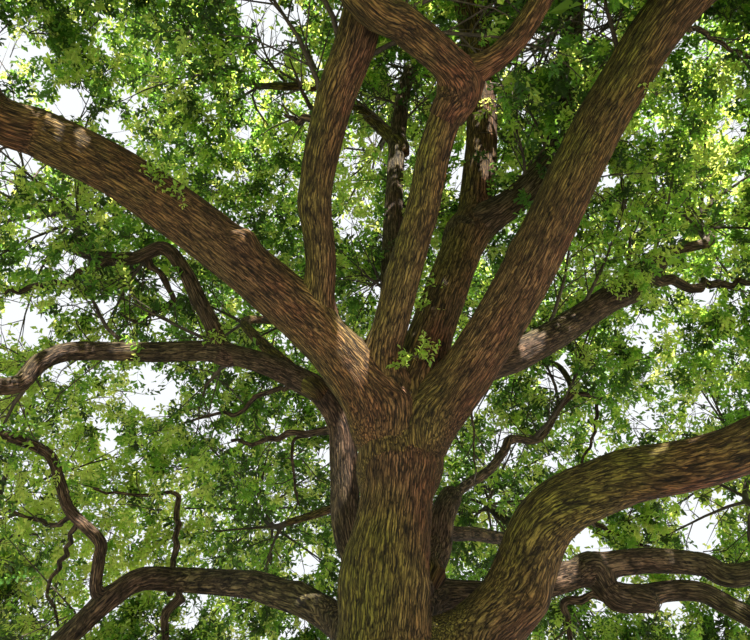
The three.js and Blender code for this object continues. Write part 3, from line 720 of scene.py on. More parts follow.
def trunk_radius(z, turn):
    """Bole narrowing to the leader, plus a swell at the fork and a flare that fades as exp(-z / h)."""
    narrow = ease(BOLE_TOP, LEADER_FOOT, z)
    fade = np.exp(-z / FLARE_HEIGHT)
    ridge = 1 + ROOT_RIDGE_SHARE * fade * np.cos(ROOT_RIDGES * turn + ROOT_RIDGE_TURN)
    girth = BOLE_RADIUS + (LEADER_RADIUS - BOLE_RADIUS) * narrow
    return (girth + FORK_SWELL * ease(FORK_SWELL_START, TRUNK_HEIGHT, z) + FLARE * fade) * ridge


def drawn_in(z):
    """Share of the trunk's radius that is left near its top, where the boughs take over."""
    return 1 - TOP_DRAWN_IN * ease(TOP_DRAWN_IN_START, TRUNK_HEIGHT, z)


class Limb:
    """One bough: its curve, radii and the mass it carries."""

    def __init__(self, row, built):
        self.name, self.parent, self.place, self.radius, self.tip, self.mass, legs = row
        if self.parent == "trunk":
            knots = [trunk_middle(self.place)[0]]
            last = np.array([0.0, 0.0, 1.0])
        else:
            curve = built[self.parent].curve
            share = self.place / curve.legs
            knots = [curve.point(share)[0]]
            last = curve.tangent(share)[0]
        for length, bearing, rise in legs:
            last = heading(bearing, rise)
            knots.append(knots[-1] + last * length)
        if self.mass:
            entry = entry_point(MASS_NAMES.index(self.mass), knots[-1])
            bow = LAST_STRETCH_BOW * np.linalg.norm(entry - knots[-1])
            knots += [(knots[-1] + entry) / 2 + last * bow, entry]
        self.curve = Curve(knots)

    def radius_at(self, share):
        """Base and tip mixed by share^1.5, plus a collar that fades with the distance from the base."""
        fade = np.exp(-share * self.curve.length / (COLLAR_REACH * self.radius))
        return between((self.radius, self.tip), share ** TAPER_POWER) + COLLAR * self.radius * fade


def grow_limbs():
    """Every limb by name, each grown from one that is already built."""
    built = {}
    for row in LIMBS:
        built[row[0]] = Limb(row, built)
    return built


LIMBS_BUILT = grow_limbs()


# Noise, worked out over whole arrays


def hashed(i, j, salt):
    """A draw between 0 and 1 for each pair of whole numbers, by multiplying and folding their bits."""
    n = (i.astype(np.int64) * 374761393 + j.astype(np.int64) * 668265263 + salt * 974634777) & 0xFFFFFFFF
    n = ((n ^ (n >> 13)) * 1274126177) & 0xFFFFFFFF
    return ((n ^ (n >> 16)) & 0xFFFFFF) / float(0xFFFFFF)


def ring_noise(a, b, period, salt):
    """Value noise on a ring: draws at whole places, blended by smooth steps, repeating in a."""
    ia = np.floor(a).astype(np.int64)
    ib = np.floor(b).astype(np.int64)
    fa = ease(0, 1, a - ia)
    fb = ease(0, 1, b - ib)
    low = hashed(ia % period, ib, salt) * (1 - fa) + hashed((ia + 1) % period, ib, salt) * fa
    high = hashed(ia % period, ib + 1, salt) * (1 - fa) + hashed((ia + 1) % period, ib + 1, salt) * fa
    return low * (1 - fb) + high * fb


def cell_edges(a, b, period, salt):
    """Distance to the second nearest jittered cell middle minus distance to the nearest, on a ring."""
    ia = np.floor(a).astype(np.int64)
    ib = np.floor(b).astype(np.int64)
    near = np.full(a.shape, 9.0)
    second = np.full(a.shape, 9.0)
    for da in (-1, 0, 1):
        for db in (-1, 0, 1):
            ca = ia + da
            cb = ib + db
            pa = ca + 0.15 + 0.7 * hashed(ca % period, cb, salt)
            pb = cb + 0.1 + 0.8 * hashed(ca % period, cb, salt + 1)
            d = np.hypot(a - pa, b - pb)
            second = np.minimum(second, np.maximum(near, d))
            near = np.minimum(near, d)
    return second - near


def bark_relief(turn, along, radius, salt):
    """Fissure share and crack share of a patch of bark.

    The ridges are cells stretched along the limb and pushed about by noise, and the fissures run where
    two cells meet. A second, finer set of cells cracks the ridges.
    """
    period = max(6, int(round(2 * math.pi * radius / RIDGE_WIDTH)))
    a = turn / (2 * math.pi) * period
    b = along / (RIDGE_LENGTH * (0.5 + 0.5 * min(1.0, radius / FULL_LENGTH_RADIUS)))
    push = ring_noise(a * 0.5, b * 1.9, max(3, period // 2), salt + 5) - 0.5
    push += 0.6 * (ring_noise(a, b * 5.3, period, salt + 6) - 0.5)
    wide = cell_edges(a + RIDGE_PUSH[0] * push, b + RIDGE_PUSH[1] * push, period, salt)
    fine = cell_edges(2 * a + CRACK_PUSH * push, CRACK_SHORTER * b, 2 * period, salt + 9)
    depth = between(FISSURE_SHARES, ring_noise(a, b * 2.2, period, salt + 12))
    fissure = (1 - ease(0.0, FISSURE_RIM, wide)) * np.clip(depth, 0, 1)
    return fissure, 1 - ease(0.0, CRACK_RIM, fine)


def lumps(turn, along, radius, salt):
    """Two value noises round and along the limb, the second finer and half as strong."""
    total = 0
    for i, (count, share, least, height) in enumerate(LUMPS):
        noise = ring_noise(turn / (2 * math.pi) * count, along / (share * radius + least), count, salt + i)
        total = total + height * (noise - 0.5)
    return total


# Meshes from arrays


def make_mesh(name, points, faces, attributes=None, material=None, smooth=True):
    """A piece from its points and faces, with values or vectors kept at its points."""
    mesh = bpy.data.meshes.new(name)
    points = np.ascontiguousarray(points, dtype=np.float32)
    faces = np.ascontiguousarray(faces, dtype=np.int32)
    sides = faces.shape[1]
    mesh.vertices.add(len(points))
    mesh.vertices.foreach_set("co", points.ravel())
    mesh.loops.add(faces.size)
    mesh.loops.foreach_set("vertex_index", faces.ravel())
    mesh.polygons.add(len(faces))
    mesh.polygons.foreach_set("loop_start", np.arange(0, faces.size, sides, dtype=np.int32))
    mesh.polygons.foreach_set("use_smooth", np.full(len(faces), smooth))
    mesh.update(calc_edges=True)
    for key, values in (attributes or {}).items():
        values = np.ascontiguousarray(values, dtype=np.float32)
        vector = values.ndim == 2
        layer = mesh.attributes.new(key, "FLOAT_VECTOR" if vector else "FLOAT", "POINT")
        layer.data.foreach_set("vector" if vector else "value", values.ravel())
    if material:
        mesh.materials.append(material)
    piece = bpy.data.objects.new(name, mesh)
    bpy.context.scene.collection.objects.link(piece)
    return piece


def ring_frames(tangents):
    """Normals carried along a curve without twisting: each is the last one made square to the tangent."""
    first = tangents[0]
    helper = np.array([0.0, 0.0, 1.0]) if abs(first[2]) < 0.8 else np.array([0.0, -1.0, 0.0])
    normals = [unit(np.cross(first, helper))]
    for along in tangents[1:]:
        normals.append(unit(normals[-1] - along * np.dot(normals[-1], along)))
    normals = np.array(normals)
    return normals, np.cross(tangents, normals)


def grid_triangles(rows, columns):
    """Two triangles for each square of a grid that closes on itself, and a fan to a pole at each end."""
    i = np.arange(rows - 1)[:, None] * columns
    j = np.arange(columns)[None, :]
    k = (j + 1) % columns
    a, b, c, d = (i + j), (i + k), (i + columns + k), (i + columns + j)
    body = np.stack([a, b, c, a, c, d], axis=-1).reshape(-1, 3)
    foot = rows * columns
    top = foot + 1
    last = (rows - 1) * columns
    low = np.stack([np.full(columns, foot), k[0], j[0]], axis=-1)
    high = np.stack([np.full(columns, top), last + j[0], last + k[0]], axis=-1)
    return np.vstack([body, low, high])


def ring_surface(middles, radii, frames):
    """Rings round a middle line, and the way out at each place: middle + radius (side cos + up sin)."""
    out = spokes(*frames, turns_round(radii.shape[1]))
    return middles[:, None] + out * radii[..., None], out


def with_poles(surface):
    """A surface's points, row by row, then the middles of its first and last ring, where its ends close."""
    return np.vstack([surface.reshape(-1, 3), surface[0].mean(axis=0), surface[-1].mean(axis=0)])


# Fillets where limbs meet, and burls


def from_trunk(points):
    """Each point's distance to the trunk's middle line, and the trunk's own radius and height there."""
    z = np.clip(points[:, 2], 0, TRUNK_HEIGHT)
    away = points - trunk_middle(z)
    return np.linalg.norm(away, axis=1), trunk_radius(z, np.arctan2(away[:, 1], away[:, 0])), z


def limb_balls(names, spacing, until=None):
    """Middles and radii of balls along the named limbs, or along their first part."""
    middles = []
    radii = []
    for limb in (LIMBS_BUILT[name] for name in names):
        last = (until or {}).get(limb.name, 1.0)
        shares = last * limb.curve.even_shares(int(limb.curve.length / spacing) + 2)
        middles.append(limb.curve.point(shares))
        radii.append(limb.radius_at(shares))
    return np.vstack(middles), np.concatenate(radii)


def gaps_to_balls(points, balls):
    """Distance from each point to the surface of the nearest ball."""
    middles, radii = balls
    gaps = np.empty(len(points))
    for part in parts_of(points):
        gaps[part] = (np.sqrt(((points[part, None] - middles) ** 2).sum(-1)) - radii).min(axis=1)
    return gaps


def distance_to_limb(points, name):
    """Distance from each point to a limb's surface: to its middle line, less its radius there."""
    if name == "trunk":
        apart, radius, _ = from_trunk(points)
        return apart - radius
    return gaps_to_balls(points, limb_balls([name], FILLET_BALLS))


def relatives(name):
    """The limbs that meet a limb: its parent, its children and its parent's other children."""
    parent = None if name == "trunk" else LIMBS_BUILT[name].parent
    near = [parent] if parent else []
    for other, limb in LIMBS_BUILT.items():
        if other != name and (limb.parent == name or (parent and limb.parent == parent)):
            near.append(other)
    return near


def fillet(points, name, own_radius):
    """Outward push (k - d)^2 / (4 k) within a distance k of the limbs that meet this one."""
    push = np.zeros(len(points))
    for other in relatives(name):
        reach = np.minimum(LEADER_RADIUS if other == "trunk" else LIMBS_BUILT[other].radius, own_radius)
        close = np.maximum(distance_to_limb(points, other), 0)
        push = np.maximum(push, np.clip(reach - close, 0, None) ** 2 / (4 * reach))
    return push


def swellings(points, name):
    """Sum of height exp(-(distance / width)^2) over the limb's burls."""
    total = np.zeros(len(points))
    for limb, place, width, height in BURLS:
        if limb == name:
            gaps = np.linalg.norm(points - np.array(place), axis=1)
            total += height * np.exp(-(gaps / width) ** 2)
    return total


# Bark pieces


def slow_waves(points, salt):
    """Two sine waves through space, about a metre and two metres long."""
    first, second = (points @ np.array(way) for way in WAVES)
    return np.sin(first + salt) + np.sin(second + 2 * salt)


def tint_share(points, outward, tint, salt):
    """A tint's share of the bark, 0 to 1: plain + gain (way out . its side) + waves through space."""
    plain, gain, strength, squeeze, shift, side = tint
    waves = strength * slow_waves(squeeze * points, salt + shift)
    return np.clip(plain + gain * (outward @ unit(np.array(side))) + waves, 0, 1)


def dress(piece, nodes):
    """Says what body a piece rides on and hides the solids it stands for."""
    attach(piece, "root")
    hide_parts(*nodes)


def bark_piece(name, middles, radii, frames, length, radius, material, salt):
    """A closed tube, pushed out by fillets, burls and lumps, and in along its fissures and cracks."""
    rows, columns = radii.shape
    plain, out = ring_surface(middles, radii, frames)
    flat = plain.reshape(-1, 3)
    outward = out.reshape(-1, 3)
    along = np.linspace(0, length, rows)[:, None] + np.zeros(columns)
    turns = turns_round(columns) + 0 * along
    fissure, crack = (part.ravel() for part in bark_relief(turns, along, radius, salt))
    own = np.repeat(radii.mean(axis=1), columns)
    depth = FISSURE_DEPTH + FISSURE_DEPTH_SHARE * own
    relief = LUMP_SHARE * own * lumps(turns, along, radius, salt + LUMP_SALT).ravel()
    relief -= depth * (fissure + CRACK_SHARE * crack)
    if name == "trunk":
        relief *= ease(0.0, PLAIN_FOOT, flat[:, 2])
    push = fillet(flat, name, own) + swellings(flat, name) + relief + 0.25 * depth
    surface = (flat + outward * push[:, None]).reshape(plain.shape)
    if name == "trunk":
        surface[0, :, 2] = 0
    points = with_poles(surface)
    flat = points[:-2]
    if name != "trunk" and LIMBS_BUILT[name].parent == "trunk":
        grain = carried_grain(plain, radii, along, middles)
    else:
        grain = grain_at(turns, radii, along, middles, salt)
    attributes = {
        # Darkens the bark in the relief's fissures and cracks: painted shade
        "fissure": padded(np.clip(fissure + CRACK_TINT * crack, 0, 1)),
        "moss": padded(tint_share(flat, outward, MOSS, salt)),
        "rust": padded(tint_share(flat, outward, RUST, salt)),
        # Marks the limbs whose bark gets painted shade
        "grey": np.full(len(points), float(name in SHADE_GREYED_LIMBS)),
        "grain": padded(grain.reshape(-1, 3)),
    }
    piece = make_mesh(f"{name}_bark", points, grid_triangles(rows, columns), attributes, material)
    dress(piece, [name])


def padded(values):
    """Values at the points of a tube, and none at its two poles."""
    return np.concatenate([values, np.zeros((2,) + values.shape[1:])])


def grain_at(turns, radii, along, middles, salt):
    """Places round and along the limb, (r cos turn, r sin turn, length), over its ridges' growth."""
    places = [radii * np.cos(turns), radii * np.sin(turns), along + GRAIN_APART * salt]
    return np.stack(np.broadcast_arrays(*places), axis=-1) / ridge_growth(middles)


def ridge_growth(middles):
    """How much wider the ridges are on a limb far from the viewer."""
    far = np.linalg.norm(middles - EYE, axis=1).mean() / WIDER_RIDGES_FROM
    return min(max(far, 1.0), WIDER_RIDGES_MOST)


def carried_grain(surface, radii, along, middles):
    """Grain that goes on from the trunk's and turns slowly into the limb's own.

    Each line along the limb starts where it leaves the trunk. Its steps are (1 - w) times the steps
    through the trunk's own grain plus w times the steps along the limb, with w rising from 0 to 1.
    """
    apart, girth, z = from_trunk(surface.reshape(-1, 3))
    leaving = (apart > girth * drawn_in(z)).reshape(along.shape).argmax(axis=0)
    line = np.arange(along.shape[1])
    own_share = ease(0.0, GRAIN_TURN, along - along[leaving, line])[:-1, :, None]
    through = surface - trunk_middle(surface[..., 2].ravel()).reshape(surface.shape)
    through[..., 2] = surface[..., 2]
    own_steps = np.zeros((len(along) - 1, along.shape[1], 3))
    own_steps[..., 2] = np.diff(along, axis=0)
    steps = (1 - own_share) * np.diff(through, axis=0) + own_share * own_steps
    grain = np.concatenate([np.zeros((1,) + steps.shape[1:]), np.cumsum(steps, axis=0)])
    grain += through[leaving, line] - grain[leaving, line]
    grain[..., :2] *= (radii / radii[leaving, line])[..., None]
    grain[..., 2] += GRAIN_APART * TRUNK_SALT
    return grain / ridge_growth(middles)


def bark_step(middle):
    """Mesh step that grows with the distance from the viewer."""
    return float(np.clip(FINE_STEP_PER_METRE * np.linalg.norm(middle - EYE), *STEP_RANGE))


def trunk_bark(material):
    """The trunk's tube, whose rings stay level, so that its foot is a flat cut at the ground."""
    step = bark_step(np.array([0, 0, TRUNK_SEEN_HEIGHT]))
    columns = int(2 * math.pi * TRUNK_SEEN_RADIUS / step)
    z = np.linspace(0, TRUNK_HEIGHT, int(TRUNK_HEIGHT / (step * STEP_STRETCH)))
    radii = trunk_radius(z[:, None], turns_round(columns)) * drawn_in(z)[:, None]
    frames = [np.tile(way, (len(z), 1)) for way in ((1.0, 0.0, 0.0), (0.0, 1.0, 0.0))]
    bark_piece("trunk", trunk_middle(z), radii, frames, TRUNK_HEIGHT, TRUNK_RIDGE_RADIUS, material,
               TRUNK_SALT)


def flowing_curve(limb):
    """The limb's curve with one more knot before it, further back along the middle of what carries it."""
    back = min(FLOW_BACK, FLOW_BACK_SHARE * limb.radius)
    if limb.parent == "trunk":
        before = trunk_middle(limb.curve.knots[0][2] - back)[0]
    else:
        carrier = LIMBS_BUILT[limb.parent].curve
        walked = np.interp(limb.place / carrier.legs, carrier.share, carrier.walk)
        before = carrier.point(np.interp(max(walked - back, 0), carrier.walk, carrier.share))[0]
    return Curve(np.vstack([before, limb.curve.knots]))


def rounded_bends(middles, width):
    """Middles averaged with their neighbours, (a + 2 b + c) / 4, until bends tighter than a width go."""
    step = np.linalg.norm(middles[1] - middles[0])
    for _ in range(int(2 * (width / step) ** 2)):
        eased = (middles[:-2] + 2 * middles[1:-1] + middles[2:]) / 4
        middles = np.vstack([middles[:1], eased, middles[-1:]])
    return middles, unit(np.gradient(middles, axis=0))


def limb_bark(limb, material, salt):
    """A limb's tube, from inside what carries it to a rounded tip: rings of r cos t, r sin t further on."""
    curve = flowing_curve(limb)
    step = bark_step(curve.point(LIMB_SEEN_SHARE)[0])
    columns = max(12, int(2 * math.pi * limb.radius / step))
    shares = curve.even_shares(int(curve.length / (step * STEP_STRETCH)) + 2)
    middles, tangents = rounded_bends(curve.point(shares), ROUNDED_BENDS.get(limb.name, 0.0))
    own_shares = np.clip((shares * curve.legs - 1) / limb.curve.legs, 0, 1)
    radii = limb.radius_at(own_shares) * (1 - HIDDEN_FOOT * (1 - ease(0, 1, shares * curve.legs)))
    turns = np.radians(TIP_TURNS)
    beyond = tangents[-1] * radii[-1] * np.sin(turns)[:, None]
    middles = np.vstack([middles, middles[-1] + beyond])
    radii = np.concatenate([radii, radii[-1] * np.cos(turns)])
    frames = [np.vstack([ways, np.repeat(ways[-1:], len(turns), axis=0)]) for ways in ring_frames(tangents)]
    bark_piece(limb.name, middles, np.repeat(radii[:, None], columns, axis=1), frames, curve.length,
               0.5 * (limb.radius + limb.tip), material, salt)


# Foliage


def on_bow(bows, share):
    """Points and directions on quadratic bows: (1-t)^2 a + 2 t (1-t) b + t^2 c, and its slope."""
    a, b, c = bows
    t = share[:, None]
    point = (1 - t) ** 2 * a + 2 * t * (1 - t) * b + t ** 2 * c
    return point, unit((1 - t) * (b - a) + t * (c - b))


def tubes(bows, base, tip, sides, rings):
    """Tapering bowed twigs, all at once: rings along each bow, closed by a point at its end."""
    count = len(bows[0])
    out = spokes(*square_to(unit(bows[2] - bows[0])), turns_round(sides))
    stations = []
    for share in np.arange(rings) / rings:
        middle = on_bow(bows, np.full(count, share))[0]
        stations.append(middle[:, None] + out * between((base, tip), share))
    points = np.concatenate(stations + [bows[2][:, None]], axis=1)
    j = np.arange(sides)
    k = (j + 1) % sides
    faces = []
    for a in sides * np.arange(rings - 1):
        b = a + sides
        faces += [np.stack([a + j, a + k, b + k], -1), np.stack([a + j, b + k, b + j], -1)]
    last = (rings - 1) * sides
    faces.append(np.stack([last + j, last + k, np.full(sides, last + sides)], -1))
    return copied(points, np.vstack(faces))


def copied(points, pattern):
    """Points of many small shapes as one list, and each shape's own copy of the faces."""
    count, per = points.shape[:2]
    return points.reshape(-1, 3), (pattern + per * np.arange(count)[:, None, None]).reshape(-1, 3)


def side_directions(along, angle, spin):
    """Turns a direction away from itself by an angle, towards a spin round it."""
    side, up = square_to(along)
    spoke = side * np.cos(spin)[:, None] + up * np.sin(spin)[:, None]
    return unit(along * np.cos(angle)[:, None] + spoke * np.sin(angle)[:, None])


def sprout(bows, per, lengths, angles, first, rng, lift):
    """Side growth: 'per' on each parent bow, spaced along it and turned by the golden angle round it.

    Each leaves its parent at a sharp angle and bows out to its own direction.
    """
    count = len(bows[0])
    k = np.tile(np.arange(per), count)
    parent = np.repeat(np.arange(count), per)
    share = first + (1 - first) * (k + rng.random(len(k))) / per
    root, along = on_bow(chosen(bows, parent), share)
    spin = np.radians(GOLDEN_ANGLE) * k + 2 * math.pi * rng.random(count)[parent]
    angle = np.radians(between(angles, rng.random(len(k))))
    direction = side_directions(along, angle * (1 - TIP_STRAIGHTER * (share > TIP_FROM)), spin)
    direction[:, 2] += lift
    direction = unit(direction)
    length = (between(lengths, share) * between(LENGTH_WANDER, rng.random(len(k))))[:, None]
    return root, root + unit(direction + 0.7 * along) * 0.5 * length, root + direction * length


def within_box(points):
    """True inside the frame's box, made larger by a margin."""
    low, high = (np.array(corner) for corner in CAD_BOX)
    return ((points > low - BOX_MARGIN) & (points < high + BOX_MARGIN)).all(axis=1)


def chosen(bows, good):
    """The bows, or rows of arrays, at the given places."""
    return tuple(part[good] for part in bows)


def room(index, points):
    """Depth in a mass's space, whose ball is larger by a spread towards the crown's middle and below."""
    middle = MASS_MIDDLES[index]
    away = unit(points - middle)
    inward = unit(np.array(CROWN_HEART) - middle)
    toward = np.maximum(away @ inward + SPREAD_INWARD, -away[:, 2] - SPREAD_BELOW)
    return depth_in_space(index, points) + SPACE_SPREAD * np.clip(SPREAD_GAIN * toward, 0, 1)


def keep_in_space(index, bows, margin):
    """Shortens growth that would leave the mass's space or the frame's box, and drops what is left over."""
    a, b, c = (part.copy() for part in bows)
    for _ in range(SHORTENINGS):
        outside = (room(index, c) < margin) | ~within_box(c)
        for part in (b, c):
            part[outside] = a[outside] + SHORTENED * (part[outside] - a[outside])
    inside = (room(index, c) >= margin) & within_box(c)
    return chosen((a, b, c), inside & (np.linalg.norm(c - a, axis=1) > SHORTEST))


# The view: where leaves are smaller and more, and where the cover is evened out


def on_view(points):
    """Tangents across and up from the middle of the view, and the depth along it."""
    away = points - EYE
    depth = away @ LOOK
    safe = np.maximum(depth, 0.1)
    return away[:, 0] / safe, (away @ LOOK_ABOVE) / safe, depth


def in_view(points):
    """True where a point lies in the view or a little outside its edges."""
    across, up, depth = on_view(points)
    return (depth > VIEW_FROM) & (np.abs(across) < VIEW_HALF[0]) & (np.abs(up) < VIEW_HALF[1])


def view_shape():
    """Rows and columns of the view's cells."""
    return int(2 * VIEW_HALF[1] / VIEW_CELL) + 1, int(2 * VIEW_HALF[0] / VIEW_CELL) + 1


def all_cells():
    """Rows and columns of every cell of the view, one after another."""
    rows, columns = view_shape()
    return np.divmod(np.arange(rows * columns), columns)


def cell_places(cells, across=0.5, up=0.5):
    """Places in the view of some cells, at shares of their width and height."""
    row, column = cells
    return (column + across) * VIEW_CELL - VIEW_HALF[0], (row + up) * VIEW_CELL - VIEW_HALF[1]


def view_cells(points):
    """Number of the view's cell for each point, row by row."""
    across, up, _ = on_view(points)
    column = np.floor((across + VIEW_HALF[0]) / VIEW_CELL).astype(int)
    row = np.floor((up + VIEW_HALF[1]) / VIEW_CELL).astype(int)
    return row * view_shape()[1] + column


def leaf_sizes(points):
    """Leaf length: a share of the depth inside the view, and the largest outside it."""
    depth = on_view(points)[2]
    return np.where(in_view(points), np.clip(LEAF_PER_METRE * depth, *LEAF_RANGE), LEAF_RANGE[1])


def sun_ray(points, place):
    """How far each point lies from a place towards the sun, and how far to the side of that line."""
    away = points - np.array(place)
    ahead = away @ SUNWARD
    return ahead, np.linalg.norm(away - ahead[:, None] * SUNWARD, axis=1)


def casts_shade(points):
    """True for points near the line from the shaded wood towards the sun."""
    ahead, apart = sun_ray(points, SHADED_WOOD)
    return (ahead > SHADE_FROM) & (apart < SHADE_WIDTH) & ~in_view(points)


def in_sun_gap(points, rim):
    """True within a gap's width and a rim of the line from a sun spot towards the sun."""
    hit = np.zeros(len(points), bool)
    for place, width in SUN_SPOTS:
        ahead, apart = sun_ray(points, place)
        hit |= (ahead > SUN_GAP_FROM) & (apart < width + rim)
    return hit


def leaf_counts(sizes):
    """Leaves on a shoot, as (standard leaf / size)^2, so that its cover stays the same."""
    return np.clip(np.round(SHOOT_LEAVES * (SHOOT_LEAF / sizes) ** 2), *SHOOT_LEAVES_RANGE).astype(int)


def cover_map(tips):
    """Leaf area over cell area, summed in each cell of the view and shared with the cells around it."""
    rows, columns = view_shape()
    sizes = leaf_sizes(tips)
    cover = leaf_counts(sizes) * LEAF_COVER * (sizes / (VIEW_CELL * on_view(tips)[2])) ** 2
    total = np.bincount(view_cells(tips), weights=cover, minlength=rows * columns)
    total = np.pad(total[:rows * columns].reshape(rows, columns), 1, mode="edge")
    near = total[:-2, 1:-1] + total[2:, 1:-1] + total[1:-1, :-2] + total[1:-1, 2:]
    return (OWN_COVER * total[1:-1, 1:-1] + NEXT_COVER * near).ravel()


def view_rays(x, y):
    """Lines of sight through places of the view: look + x right + y up, with a depth of 1."""
    return LOOK + x[:, None] * np.array([1.0, 0.0, 0.0]) + y[:, None] * LOOK_ABOVE


def wanted_cover():
    """Cover wanted in each cell: a soft noise of clumps, and little of it in the openings."""
    row, column = all_cells()
    wide, narrow = CLUMP_CELLS
    clumps = 0.6 * ring_noise(column / wide, row / wide, NOISE_PERIOD, 71)
    clumps += 0.4 * ring_noise(column / narrow, row / narrow, NOISE_PERIOD, 72)
    wanted = WANTED_COVER * between(CLUMP_RANGE, clumps)
    rays = unit(view_rays(*cell_places((row, column))))
    for bearing, rise, width, share in THIN_AREAS:
        apart = degrees_apart(rays, bearing, rise) / width
        wanted *= share + (1 - share) * ease(*THIN_EDGE, apart)
    return wanted * opening_share(rays)


def degrees_apart(rays, bearing, rise):
    """Angle between each ray and a heading, from the cosine that is their product."""
    return np.degrees(np.arccos(np.clip(rays @ heading(bearing, rise), -1, 1)))


def opening_share(rays):
    """Share of the leaves that stay: few inside each opening, whose edge is made ragged by noise."""
    size, amount = OPENING_RAGGED
    x, z = rays[:, 0], rays[:, 2]
    ragged = ring_noise(x / size, z / size, NOISE_PERIOD, 73) - 0.5
    ragged += 0.6 * (ring_noise(2.3 * x / size, 2.3 * z / size, NOISE_PERIOD, 74) - 0.5)
    share = np.ones(len(rays))
    for bearing, rise, width in SKY_OPENINGS:
        apart = degrees_apart(rays, bearing, rise) / width + amount * ragged
        share *= OPENING_COVER + (1 - OPENING_COVER) * ease(*OPENING_EDGE, apart)
    return share


def balls_on_view(balls):
    """Where the balls ahead of the viewer stand in the view, their depths and their radii."""
    across, up, depth = on_view(balls[0])
    ahead = depth > BALLS_FROM
    return across[ahead], up[ahead], depth[ahead], balls[1][ahead]


def before_limbs(points, balls):
    """True where a point lies between the viewer and a ball, or within a rim round the ball."""
    across, up, depth = on_view(points)
    x, y, deep, radii = balls_on_view(balls)
    reach = (radii + BARE_RIM) / deep
    hit = np.zeros(len(points), bool)
    for part in parts_of(points):
        apart = np.hypot(across[part, None] - x, up[part, None] - y)
        hit[part] = ((apart < reach) & (depth[part, None] < deep)).any(axis=1)
    return hit & (depth > BARE_FROM)


def hidden_cells(balls):
    """True for the cells of the view whose middles lie behind a limb."""
    across, up, depth, radii = balls_on_view(balls)
    x, y = cell_places(all_cells())
    return (np.hypot(x[:, None] - across, y[:, None] - up) < radii / depth).any(axis=1)


def evened(shoots, wanted, rng):
    """Thins out crowded cells of the view: a shoot stays by a chance of wanted cover over cover."""
    seen = np.flatnonzero(in_view(shoots[2]))
    tips = shoots[2][seen]
    chance = (wanted / np.maximum(cover_map(tips), 1e-6))[view_cells(tips)]
    keep = np.ones(len(shoots[0]), bool)
    keep[seen] = rng.random(len(seen)) < chance
    return chosen(shoots, keep)


def fill_twigs(tips, shoots, wanted, rng):
    """Twigs that grow on from the nearest tips into the cells of the view where the cover is thin.

    Each ends on the line of sight through its cell, at its tip's own depth.
    """
    cover = cover_map(shoots[2][in_view(shoots[2])])
    thin = np.flatnonzero(cover < THIN_SHARE * wanted)
    across, up, depth = on_view(tips)
    x, y = cell_places(np.divmod(thin, view_shape()[1]), rng.random(len(thin)), rng.random(len(thin)))
    apart = np.hypot(x[:, None] - across, y[:, None] - up) * np.maximum(depth, 1)
    apart = apart + FILL_JITTER * rng.random(apart.shape) + FILL_TOO_NEAR * (depth < FILL_FROM_DEPTH)
    nearest = apart.argmin(axis=1)
    start = tips[nearest]
    end = EYE + view_rays(x, y) * depth[nearest][:, None]
    length = np.linalg.norm(end - start, axis=1)
    good = (length < FILL_REACH[1]) & (length > FILL_REACH[0]) & within_box(end)
    bend = 0.5 * (start + end) + FILL_BEND * length[:, None] * (rng.random(start.shape) - 0.5)
    return chosen((start, bend, end), good)


def is_near(index):
    """True for the masses that lie before the viewer."""
    away = MASS_MIDDLES[index] - EYE
    depth = away @ LOOK
    return depth > 0 and abs(away[0]) < NEAR_HALF * depth + MASS_RADII[index]


def grow_levels(branches, near, keep, rng, lift):
    """Twigs on branches and shoots on twigs, with fewer shoots where the viewer isn't near."""
    twigs = sprout(branches, TWIGS_PER_BRANCH, TWIG_LENGTH, TWIG_ANGLES, TWIGS_FROM, rng, lift)
    twigs = keep(twigs, TWIG_MARGIN)
    per = SHOOTS_PER_TWIG if near else FAR_SHOOTS_PER_TWIG
    shoots = sprout(twigs, per, SHOOT_LENGTH, SHOOT_ANGLES, SHOOTS_FROM, rng, lift)
    return twigs, keep(shoots, SHOOT_MARGIN)


def mass_stem(mass, limb):
    """A mass's stem, on from its bough's tip, through the ball's middle and a little beyond it."""
    middle, radius = mass["middle"], mass["radius"]
    foot = limb.curve.point(1.0)[0]
    along = limb.curve.tangent(1.0)[0]
    beyond = unit(middle - foot)
    beyond[2] += STEM_LIFT
    top = middle + unit(beyond) * STEM_REACH * radius
    return Curve([foot, foot + along * STEM_STRAIGHT * radius, middle, top])


def mass_branches(mass, stem, rng):
    """Branches that leave the stem steeply and bow outwards, to ends spread evenly over the ball.

    The ends turn by the golden angle while they sink evenly, and each starts further up the stem the
    more it points the stem's own way.
    """
    k = np.arange(BRANCHES)
    rise = np.degrees(np.arcsin(1 - (2 * k + 1) / BRANCHES))
    toward = heading(360 * rng.random() + k * GOLDEN_ANGLE, rise)
    share = between(BRANCH_ROOTS, 0.5 + 0.5 * toward @ stem.tangent(1.0)[0])
    roots = stem.point(share)
    reach = BRANCH_REACH * mass["radius"] * between(BRANCH_REACH_WANDER, rng.random(BRANCHES))
    ends = mass["middle"] + toward * reach[:, None]
    length = np.linalg.norm(ends - roots, axis=1, keepdims=True)
    leave = unit(stem.tangent(share) + BRANCH_OUTWARD * unit(ends - roots))
    crook = BRANCH_CROOK * length * (rng.random((BRANCHES, 3)) - 0.5)
    return roots, roots + leave * BRANCH_KNEE * length + crook, ends


def grow_mass(index, limb):
    """One mass, level by level: its stem, branches, twigs and shoots, all kept within its space."""
    mass = MASSES[index]
    rng = np.random.default_rng(mass["seed"])

    def keep(bows, margin):
        return keep_in_space(index, bows, margin)

    stem = mass_stem(mass, limb)
    branches = keep(mass_branches(mass, stem, rng), BRANCH_MARGIN)
    lift = LIFT_LOW if mass["middle"][2] < LOW_MASS else LIFT_HIGH
    return stem, branches, *grow_levels(branches, is_near(index), keep, rng, lift)


